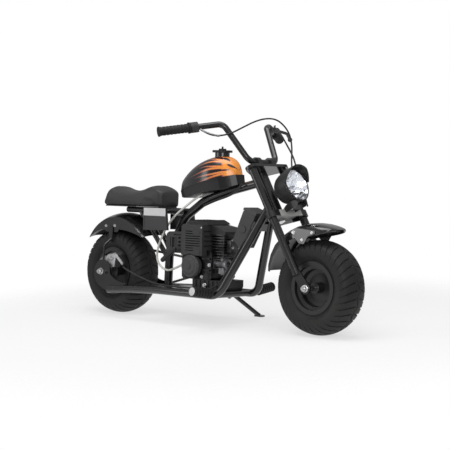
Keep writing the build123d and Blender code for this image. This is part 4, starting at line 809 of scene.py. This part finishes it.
def fender_mesh():
    points = []
    for skin in (0.0, SHEET):
        for angle, crown, edge, half in FENDER_ROWS:
            turned = math.radians(angle)
            for step in range(FENDER_STEPS + 1):
                share = 2 * step / FENDER_STEPS - 1
                roll = abs(share) ** EDGE_ROLL
                bulge = math.sin(abs(share) * math.pi / 2) ** SIDE_BULGE
                radius = crown - (crown - edge) * roll - skin
                left = math.copysign(half * bulge - skin * roll, share)
                points.append((WHEELBASE + radius * math.cos(turned), left, radius * math.sin(turned)))
    wide, inner = FENDER_STEPS + 1, len(points) // 2
    outer_faces = grid_faces(len(FENDER_ROWS), wide)
    faces = outer_faces + [tuple(inner + corner for corner in face) for face in outer_faces]
    for row in range(0, inner - wide, wide):
        faces += [(a, a + wide, inner + a + wide, inner + a) for a in (row, row + FENDER_STEPS)]
    for row in (0, inner - wide):
        faces += [(a, a + 1, inner + a + 1, inner + a) for a in range(row, row + FENDER_STEPS)]
    return drawn_mesh("front_fender_sheet", points, faces)


fender = add_piece("front_fender_sheet", fender_mesh(), FENDER_PAINT, "steering", 50)
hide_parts("front_fender")


def plate_mesh(name, outline, inner, outer):
    """Flat plate with an outline of (forward, height) points between two distances to the left."""
    count = len(outline)
    points = [(x, inner, z) for x, z in outline] + [(x, outer, z) for x, z in outline]
    faces = [tuple(range(count)), tuple(range(count, 2 * count))]
    faces += [(i, (i + 1) % count, (i + 1) % count + count, i + count) for i in range(count)]
    return drawn_mesh(name, points, faces)


SIDES = ((-1, "right"), (1, "left"))
PLATE_OUTLINE = [(912, 190), (932, 204), (1018, 197), (1020, 188), (990, 178), (972, 150), (952, 152)]
PLATE_INNER, PLATE_OUTER = 64.6, 66.6
for side, name in SIDES:
    mesh = plate_mesh("fender_plate_" + name, PLATE_OUTLINE, side * PLATE_INNER, side * PLATE_OUTER)
    add_piece("fender_plate_" + name, mesh, PLATE_PAINT, "steering")

# %% [markdown]
# The tank is one smooth teardrop over its seam, and a skirt with a flange below it. Their
# sections are eased into one another, and both close round at the nose. The filler neck
# is a turned piece of its own, so the flames stay off it.

# %% Tank
# Columns: share of the length, half width, straight side, ridge height, depth below the seam
TANK_ROWS = [
    (0.04, 20, 6, 14, 24), (0.15, 44, 12, 45, 33), (0.405, 67, 16, 78, 35), (0.66, 72, 18, 88, 38),
    (0.85, 54, 18, 79, 41), (1.0, 26, 12, 48, 36),
]
TANK_STEPS_ALONG = 56
TANK_STEPS_ROUND = 36
TANK_START = TANK_ROWS[0][0]
TANK_LONG = 0.95
SKIRT_START = 0.035
NOSE_START = 0.9
SKIRT_OUTSET = 1.5
FLANGE_HALF = 1.2
FLANGE_SHARE = 1.04
FOOT_SHARE = 0.9
# Powers that set rows closer at the nose, and make the sides squarer and the ridge fuller
ROWS_CLOSER, SIDE_SQUARER, RIDGE_FULLER = 1.35, 0.82, 0.9
SIDE_STEEPNESS = 6


def eased(table, at, column):
    """Value of a column at a place along a table, through a smooth curve."""
    rows = [table[0]] + table + [table[-1]]
    for index in range(1, len(rows) - 2):
        near = [(row[0], row[column]) for row in rows[index - 1:index + 3]]
        (x0, v0), (x1, v1), (x2, v2), (x3, v3) = near
        if at <= x2 or index == len(rows) - 3:
            share = (at - x1) / (x2 - x1)
            slope_1 = (v2 - v0) / (x2 - x0) * (x2 - x1)
            slope_2 = (v3 - v1) / (x3 - x1) * (x2 - x1)
            cube, square = share ** 3, share ** 2
            return (
                (2 * cube - 3 * square + 1) * v1 + (cube - 2 * square + share) * slope_1
                + (3 * square - 2 * cube) * v2 + (cube - square) * slope_2
            )
    return table[-1][column]


def narrowed(along, strength, least):
    """Share that the tank's width keeps as its nose closes."""
    tight = max(0.0, (along - NOSE_START) / (1 - NOSE_START))
    return math.sqrt(max(least, 1 - strength * tight ** 2))


def above_seam_point(along, left, height):
    """Point on the upright bike from the tank's own lengths."""
    ahead_of_tail = along * TANK_LENGTH
    x = TANK_TAIL[0] + ahead_of_tail * math.cos(TANK_TILT) - height * math.sin(TANK_TILT)
    z = TANK_TAIL[1] + ahead_of_tail * math.sin(TANK_TILT) + height * math.cos(TANK_TILT)
    return x, left, z


def tank_ring(share):
    """Points over the upper shell, from the right seam over the ridge to the left seam."""
    along = TANK_START + TANK_LONG * (1 - (1 - share) ** ROWS_CLOSER)
    half, side, ridge = (eased(TANK_ROWS, along, column) for column in (1, 2, 3))
    nose = narrowed(along, 0.75, 0.0)
    ring = []
    for step in range(TANK_STEPS_ROUND + 1):
        angle = math.pi * step / TANK_STEPS_ROUND
        across, up = math.cos(angle), max(0.0, math.sin(angle)) ** RIDGE_FULLER
        left = -math.copysign(abs(across) ** SIDE_SQUARER, across) * half * nose
        height = (side * min(1.0, up * SIDE_STEEPNESS) + (ridge - side) * up) * nose
        ring.append(above_seam_point(along, left, height))
    return ring


def skirt_ring(share):
    """Points round the lower shell: a seam flange, a side that leans in, and a flat foot."""
    along = SKIRT_START + (1 - SKIRT_START) * share
    half, depth = (eased(TANK_ROWS, max(TANK_START, along), column) for column in (1, 4))
    half = half * narrowed(along, 0.3, 0.05) + SKIRT_OUTSET
    side = [
        (1, FLANGE_HALF), (FLANGE_SHARE, FLANGE_HALF), (FLANGE_SHARE, -FLANGE_HALF),
        (1, -FLANGE_HALF), (FOOT_SHARE, -depth),
    ]
    both_sides = side + [(-wide, height) for wide, height in reversed(side)]
    return [above_seam_point(along, wide * half, height) for wide, height in both_sides]


def lofted_mesh(name, ring_at):
    """Closed mesh through rings of points along the tank, with a face across each end."""
    rings = [ring_at(row / TANK_STEPS_ALONG) for row in range(TANK_STEPS_ALONG + 1)]
    points = [point for ring in rings for point in ring]
    wide, total = len(rings[0]), len(points)
    faces = grid_faces(len(rings), wide, columns_close=True)
    faces += [tuple(range(wide)), tuple(range(total - wide, total))]
    return drawn_mesh(name, points, faces)


shell = add_piece("tank_shell", lofted_mesh("tank_shell", tank_ring), FLAME_PAINT, "frame", 50)
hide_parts("tank_upper")
skirt = add_piece("tank_skirt", lofted_mesh("tank_skirt", skirt_ring), TANK_SKIRT, "frame", 30)
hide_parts("tank_lower")
UNDER_CAP = PARK @ Matrix.Translation((523.9, 0, 0))
NECK_OUTLINE = [(0, 400), (31, 400), (31, 440), (28, 446), (27, 450), (27, 464.9), (0, 464.9)]
neck_mesh = turned_mesh("tank_neck", NECK_OUTLINE, UNDER_CAP)
add_piece("tank_neck", neck_mesh, FRAME_PAINT, "frame")

# %% [markdown]
# Each foot peg ends in a pale pressed disc, and a bent steel tube covers the first part
# of the throttle cable, where it leaves its housing.

# %% Peg ends and throttle elbow
DISC_OUTLINE = [(0, -0.4), (15, -0.4), (15, 0.9), (13.5, 1.3), (0, 1.3)]
# Columns: forward, distance from the middle and height of a peg's inner and outer end
PEG_ENDS = [(599.5, 130, -44.4), (592, 216, -33.5)]
ELBOW_POINTS = 3
ELBOW_RADIUS = 3.8
for side, name in SIDES:
    inner_end, outer_end = [Vector((x, side * apart, z)) for x, apart, z in PEG_ENDS]
    place = PARK @ facing(outer_end, outer_end - inner_end)
    mesh = turned_mesh("peg_disc", DISC_OUTLINE, place, 40)
    add_piece("peg_disc_" + name, mesh, PALE_PLATE, "frame")
elbow = as_mesh(spline_through("elbow", CORDS["throttle_cable"][0][:ELBOW_POINTS], ELBOW_RADIUS))
add_piece("throttle_elbow", elbow, DISC_STEEL, "steering")

# %% [markdown]
# Hexagon bolts hold everything. Each is one point with two attributes, the way that it
# faces and its size, and Geometry Nodes put the same head and washer on every
# point. The instances are realized into one plain mesh for each body.

# %% Bolt heads
# Columns: forward, left and height on the upright bike, radius of the head
FRAME_BOLTS = [
    (440, -60.6, 8, 5.0), (492, -60.6, 8, 5.0), (528, -60.6, 52, 5.0), (509, -86.6, 188, 2.2),
    (396, -68.1, 96, 2.2), (456, 99.5, 59, 4.0), (428, 99.5, 5, 4.0), (517, -71.3, -22, 6.5),
    (48, -106.3, 56, 6.0), (62, -112.2, 64, 4.0), (24, -107, 26, 4.5),
]
# Columns: forward, distance from the middle and height of a pair, radius of the head
FRAME_PAIRS = [(-22, 70.5, 176, 4.2), (28, 70.5, 178, 4.2)]
FENDER_PAIRS = [(928, 66.7, 188, 5.0), (1008, 66.7, 190, 4.0), (965, 66.7, 164, 4.0)]
# Columns: left of the rear wheel's middle, radius of the head
WHEEL_RINGS = [(-81.7, 4.0), (77.8, 4.5)]
WHEEL_RING_RADIUS = 34.0
WHEEL_RING_COUNT = 4
FORWARD, UP = (1, 0, 0), (0, 0, 1)
CASE_BOLTS = [((596.2, left, height), FORWARD, 4.0) for height in (118, 146) for left in (-12, 22)]
BASE_BOLTS = [((360, left, -41.6), UP, 5.0) for left in (-55, 55)]


def bolt_tree():
    """Geometry Nodes that put a washer and a hexagon head on each point of a mesh."""
    tree = bpy.data.node_groups.new("bolt heads", "GeometryNodeTree")
    tree.interface.new_socket("Geometry", in_out="INPUT", socket_type="NodeSocketGeometry")
    tree.interface.new_socket("Head height", in_out="INPUT", socket_type="NodeSocketFloat")
    tree.interface.new_socket("Metal", in_out="INPUT", socket_type="NodeSocketMaterial")
    tree.interface.new_socket("Geometry", in_out="OUTPUT", socket_type="NodeSocketGeometry")

    def add(kind, sockets=None, **settings):
        return add_node(tree, kind, settings, sockets)

    given = add("NodeGroupInput")
    head = add("GeometryNodeMeshCylinder", {
        "Vertices": 6, "Radius": 1.0, "Depth": given.outputs["Head height"],
    })
    washer = add("GeometryNodeMeshCylinder", {"Vertices": 20, "Radius": 1.35, "Depth": 0.3})
    half = add("ShaderNodeMath", {0: given.outputs["Head height"], 1: 0.5}, operation="MULTIPLY")
    raise_head = add("ShaderNodeCombineXYZ", {"Z": half.outputs[0]})
    lifted = add("GeometryNodeTransform", {
        "Geometry": head.outputs["Mesh"], "Translation": raise_head.outputs[0],
    })
    both = add("GeometryNodeJoinGeometry")
    tree.links.new(lifted.outputs[0], both.inputs[0])
    tree.links.new(washer.outputs["Mesh"], both.inputs[0])
    aim = add("GeometryNodeInputNamedAttribute", {"Name": "aim"}, data_type="FLOAT_VECTOR")
    girth = add("GeometryNodeInputNamedAttribute", {"Name": "girth"}, data_type="FLOAT")
    turned = add("FunctionNodeAlignRotationToVector", {"Vector": aim.outputs[0]}, axis="Z")
    spread = add("GeometryNodeInstanceOnPoints", {
        "Points": given.outputs["Geometry"], "Instance": both.outputs[0],
        "Rotation": turned.outputs[0], "Scale": girth.outputs[0],
    })
    real = add("GeometryNodeRealizeInstances", {"Geometry": spread.outputs[0]})
    painted = add("GeometryNodeSetMaterial", {
        "Geometry": real.outputs[0], "Material": given.outputs["Metal"],
    })
    add("NodeGroupOutput", {"Geometry": painted.outputs[0]})
    return tree


def points_object(name, rows):
    """Mesh of loose points in their parked places, each with a direction and a size."""
    mesh = bpy.data.meshes.new(name)
    mesh.from_pydata([PARK @ Vector(place) for place, _, _ in rows], [], [])
    turn_only = PARK.to_quaternion()
    aims = [component for _, aim, _ in rows for component in turn_only @ Vector(aim)]
    mesh.attributes.new("aim", "FLOAT_VECTOR", "POINT").data.foreach_set("vector", aims)
    sizes = [size / 1000 for _, _, size in rows]
    mesh.attributes.new("girth", "FLOAT", "POINT").data.foreach_set("value", sizes)
    source = bpy.data.objects.new(name, mesh)
    scene.collection.objects.link(source)
    return source


def with_nodes(source, tree, inputs):
    """Plain mesh that a node tree makes of a points object."""
    modifier = source.modifiers.new("nodes", "NODES")
    modifier.node_group = tree
    for item in tree.interface.items_tree:
        if item.in_out == "INPUT" and item.name in inputs:
            modifier[item.identifier] = inputs[item.name]
    return as_mesh(source)


def faced_out(rows):
    """Bolts that face away from the bike's middle, to its right or its left."""
    return [((x, left, z), (0, math.copysign(1, left), 0), size) for x, left, z, size in rows]


def on_both_sides(rows):
    return [(x, side * apart, z, size) for x, apart, z, size in rows for side, _ in SIDES]


def wheel_ring(left, size):
    """Rows of bolts in a ring round the rear wheel's middle."""
    angles = [2 * math.pi * (step + 0.5) / WHEEL_RING_COUNT for step in range(WHEEL_RING_COUNT)]
    places = [(WHEEL_RING_RADIUS * math.cos(a), WHEEL_RING_RADIUS * math.sin(a)) for a in angles]
    return [(x, left, z, size) for x, z in places]


BOLT_TREE = bolt_tree()
BOLT_INPUTS = {"Head height": 1.1, "Metal": BRIGHT_STEEL}
BOLTS_OF_BODY = {
    "frame": faced_out(FRAME_BOLTS + on_both_sides(FRAME_PAIRS)) + CASE_BOLTS + BASE_BOLTS,
    "steering": faced_out(on_both_sides(FENDER_PAIRS)),
    "rear_wheel": faced_out([row for left, size in WHEEL_RINGS for row in wheel_ring(left, size)]),
}
for body, rows in BOLTS_OF_BODY.items():
    mesh = with_nodes(points_object("bolts", rows), BOLT_TREE, BOLT_INPUTS)
    add_piece("bolts_" + body, mesh, BRIGHT_STEEL, body)
    print("bolts on", body, len(rows))

# %% [markdown]
# The headlamp is a deep bowl in a round case. Its mirror is pressed in facets that
# spread the beam, a bulb stands in its middle, and a clear dome closes it. The case
# and the dome are turned from outlines in the lamp's own frame.

# %% Headlamp
LAMP_TILT = math.radians(23.0)
LAMP_PLACE = FORK @ Vector((79.4, 0, 363.6))
LAMP = PARK @ facing(LAMP_PLACE, (math.cos(LAMP_TILT), 0, math.sin(LAMP_TILT)))
BULB_HOLE = 10.0
BOWL_RADIUS = 54.0
BOWL_DEPTH = 40.0
FACETS = 20
FACET_RINGS = 5
FACET_EDGES = (0.02, 0.98)
FACET_STEP = 1.5
BULB_OUTLINE = [
    (0, -44), (7, -44), (7, -36), (9, -35), (9, -33), (5.5, -32), (5.5, -20), (4, -15), (0, -13),
]
DOME_OUTLINE = [
    (0, 11.5), (16, 11), (32, 9.3), (46, 5.6), (56, 1.2), (58, 1.2), (58, 3), (47, 7.8),
    (32, 12), (17, 13.6), (0, 14),
]


def bowl_place(share):
    """Radius and depth of the bowl at a share of the way from the bulb's hole to its rim."""
    radius = BULB_HOLE + (BOWL_RADIUS - BULB_HOLE) * share
    return radius, BOWL_DEPTH * (1 - (radius / BOWL_RADIUS) ** 2)


def lamp_case():
    outline = [
        (0, -84), (16, -84), (27, -80.5), (37, -75), (45.5, -68), (52.5, -58), (57.5, -45),
        (60, -30), (60, -10), (62, -10), (62, -1), (61, 0), (57, 0), (55, -3), (55, -8),
        (50, -20), (34, -45), (12, -54), (0, -54),
    ]
    return turned_mesh("lamp_case", outline, LAMP)


def lamp_mirror():
    """Bowl of flat facets, every second one pressed in a little."""
    points, faces = [], []
    for ring in range(FACET_RINGS):
        for step in range(FACETS):
            for ring_edge in FACET_EDGES:
                for step_edge in FACET_EDGES:
                    radius, depth = bowl_place((ring + ring_edge) / FACET_RINGS)
                    depth += FACET_STEP * ((ring + step) % 2)
                    angle = 2 * math.pi * (step + step_edge + 0.5 * (ring % 2)) / FACETS
                    points.append((radius * math.cos(angle), radius * math.sin(angle), -depth - 1))
            first = len(points) - 4
            faces.append((first, first + 2, first + 3, first + 1))
    mesh = bpy.data.meshes.new("lamp_mirror")
    mesh.from_pydata([LAMP @ Vector(point) for point in points], [], faces)
    return mesh


def lamp_backing():
    """Smooth bowl just behind the facets, which closes the joints between them."""
    bowl = [bowl_place(step / 10) for step in range(11)]
    outline = [(0, -BOWL_DEPTH - 8), (8, -BOWL_DEPTH - 8)]
    outline += [(radius, -depth - 3.2) for radius, depth in bowl]
    outline += [(BOWL_RADIUS + 0.8, -3.2), (BOWL_RADIUS + 0.8, -5)]
    outline += [(radius, -depth - 4.8) for radius, depth in reversed(bowl[:-1])]
    outline += [(8, -BOWL_DEPTH - 10), (0, -BOWL_DEPTH - 10)]
    return turned_mesh("lamp_backing", outline, LAMP)


case = add_piece("lamp_case", lamp_case(), SMOOTH_PLASTIC, "steering", 30)
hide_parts("headlamp_bucket")
add_piece("lamp_mirror", lamp_mirror(), MIRROR, "steering", 5)
add_piece("lamp_backing", lamp_backing(), MIRROR, "steering")
bulb_mesh = turned_mesh("lamp_bulb", BULB_OUTLINE, LAMP, 24)
add_piece("lamp_bulb", bulb_mesh, PALE_PLATE, "steering")
dome_mesh = turned_mesh("lamp_dome", DOME_OUTLINE, LAMP, 72)
dome = add_piece("lamp_dome", dome_mesh, GLASS, "steering")
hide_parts("headlamp_lens")
print("lamp facets", FACETS * FACET_RINGS)

# %% [markdown]
# The seat is moulded foam under smooth vinyl. A copy of its solid is remeshed evenly,
# eased at its edges and lowered towards its sides. Then it is blown up a little as
# cloth, with a cap on how far any point may move, so that the faces crown while the
# outline stays.

# %% Seat
SEAT_VOXEL = 0.005
SEAT_EASE = 10
SEAT_SWELL = 0.0035
SEAT_FRAMES = 20
# Height where the shaping of the seat's top sets in, and the height that it takes
TOP_STARTS, TOP_TAKES = 270.0, 50.0
# How far the top's sides sink, their distance from the middle, and the sinking's power
SIDE_SINKS, SEAT_HALF, SINK_POWER = 15.0, 70.0, 2.2
# How far the rear end slopes, where it is, and the length that the slope takes
REAR_SLOPES, SEAT_REAR, SLOPE_TAKES = 14.0, -48.0, 40.0


def merged_copy(name):
    """Object with a copy of a solid's mesh, its doubled points merged."""
    mesh = nodes[name].data.copy()
    merge_points(mesh)
    copy = bpy.data.objects.new(name + "_copy", mesh)
    scene.collection.objects.link(copy)
    return copy


def eased_seat():
    copy = merged_copy("seat_cushion")
    remesh = copy.modifiers.new("even", "REMESH")
    remesh.mode = "VOXEL"
    remesh.voxel_size = SEAT_VOXEL
    smooth = copy.modifiers.new("ease", "SMOOTH")
    smooth.factor = 0.5
    smooth.iterations = SEAT_EASE
    return as_mesh(copy)


def blown_up(mesh):
    """The mesh after a short cloth simulation under pressure, with its moves capped."""
    source = bpy.data.objects.new("seat_cloth", mesh)
    scene.collection.objects.link(source)
    start = [vertex.co.copy() for vertex in mesh.vertices]
    cloth = source.modifiers.new("cloth", "CLOTH")
    cloth.settings.use_pressure = True
    cloth.settings.uniform_pressure_force = 4.0
    cloth.settings.effector_weights.gravity = 0.0
    cloth.settings.quality = 5
    scene.frame_start, scene.frame_end = 1, SEAT_FRAMES
    for step in range(1, SEAT_FRAMES + 1):
        scene.frame_set(step)
    swollen = as_mesh(source)
    scene.frame_set(1)
    for vertex, place in zip(swollen.vertices, start):
        move = vertex.co - place
        if move.length > SEAT_SWELL:
            vertex.co = place + move * (SEAT_SWELL / move.length)
    return swollen


def crowned(mesh):
    """Lowers the seat's top towards its sides, and slopes its rear end."""
    for vertex in mesh.vertices:
        x, y, z = UPRIGHT @ vertex.co
        above = min(1.0, max(0.0, (z - TOP_STARTS) / TOP_TAKES))
        z -= above * SIDE_SINKS * min(1.0, abs(y) / SEAT_HALF) ** SINK_POWER
        x += above * REAR_SLOPES * max(0.0, 1 - (x - SEAT_REAR) / SLOPE_TAKES)
        vertex.co = PARK @ Vector((x, y, z))
    return mesh


seat_mesh = crowned(eased_seat())
seat_mesh = blown_up(seat_mesh)
seat = add_piece("seat_padded", seat_mesh, SEAT_VINYL, "frame", 180)
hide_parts("seat_cushion")
print("seat faces", len(seat.data.polygons))

# %% [markdown]
# A plain white studio: a floor and three soft lights. The floor glows a little where it
# is seen straight on, mirrored or through the lens, and lights nothing itself, so it
# comes out white while it still takes the tyres' shadows. It fades out away from the
# bike, so that no edge shows against the white behind.

# %% Studio
FLOOR_GLOW = 0.62
FLOOR_FADE = (0.85, 1.5)
SEEN_SKY, LIGHTING_SKY = 1.0, 0.4


def mixed_shaders(tree, share, first, second):
    sockets = {"Fac": share, 1: first.outputs[0], 2: second.outputs[0]}
    return add_node(tree, "ShaderNodeMixShader", {}, sockets)


def studio_floor():
    bpy.ops.mesh.primitive_plane_add(size=16)
    floor = bpy.context.object
    floor.name = "floor"
    finish = Finish("white floor", base_color=(0.8, 0.8, 0.8, 1), roughness=0.9)
    rays = finish.add("ShaderNodeLightPath")
    seen = Signal(finish, rays.outputs["Is Camera Ray"])
    mirrored = Signal(finish, rays.outputs["Is Glossy Ray"])
    through = Signal(finish, rays.outputs["Is Transmission Ray"])
    glow = finish.add("ShaderNodeEmission", {}, {"Color": (1, 1, 1, 1), "Strength": 1.0})
    share = seen.higher(mirrored).higher(through) * FLOOR_GLOW
    parts = finish.add("ShaderNodeSeparateXYZ", {}, {"Vector": finish.place})
    x, y = Signal(finish, parts.outputs[0]), Signal(finish, parts.outputs[1])
    fade = ((x * x + y * y) ** 0.5).rise(*FLOOR_FADE)
    both = mixed_shaders(finish.tree, share, finish.shader, glow)
    faded = mixed_shaders(finish.tree, fade, both, finish.add("ShaderNodeBsdfTransparent"))
    feed(finish.tree, finish.output.inputs["Surface"], faded.outputs[0])
    floor.data.materials.append(finish.material)


def soft_light(name, place, aim, size, power):
    lamp = bpy.data.lights.new(name, "AREA")
    lamp.shape = "RECTANGLE"
    lamp.size, lamp.size_y = size
    lamp.energy = power
    light = bpy.data.objects.new(name, lamp)
    direction = Vector(aim) - Vector(place)
    light.matrix_world = (
        Matrix.Translation(place) @ direction.to_track_quat("-Z", "Y").to_matrix().to_4x4()
    )
    scene.collection.objects.link(light)


def studio_sky():
    """White where the camera sees it, also through the lens, and softer as a light."""
    world = bpy.data.worlds.new("studio")
    scene.world = world
    world.use_nodes = True
    tree = world.node_tree
    tree.nodes.clear()
    rays = add_node(tree, "ShaderNodeLightPath").outputs
    either = {0: rays["Is Camera Ray"], 1: rays["Is Transmission Ray"]}
    seen = add_node(tree, "ShaderNodeMath", {"operation": "MAXIMUM"}, either)
    soft, white = [
        add_node(tree, "ShaderNodeBackground", {}, {"Color": (1, 1, 1, 1), "Strength": strength})
        for strength in (LIGHTING_SKY, SEEN_SKY)
    ]
    both = mixed_shaders(tree, seen.outputs[0], soft, white)
    add_node(tree, "ShaderNodeOutputWorld", {}, {"Surface": both.outputs[0]})


studio_floor()
studio_sky()
soft_light("overhead", (0.2, -0.3, 2.6), (0, 0, 0.3), (2.4, 1.6), 44)
soft_light("front right", (2.4, -2.2, 1.6), (0.1, 0, 0.35), (1.4, 1.4), 34)
soft_light("left side", (-1.8, -2.4, 1.2), (0, 0, 0.3), (1.0, 1.4), 14)
scene.view_settings.view_transform = "Standard"
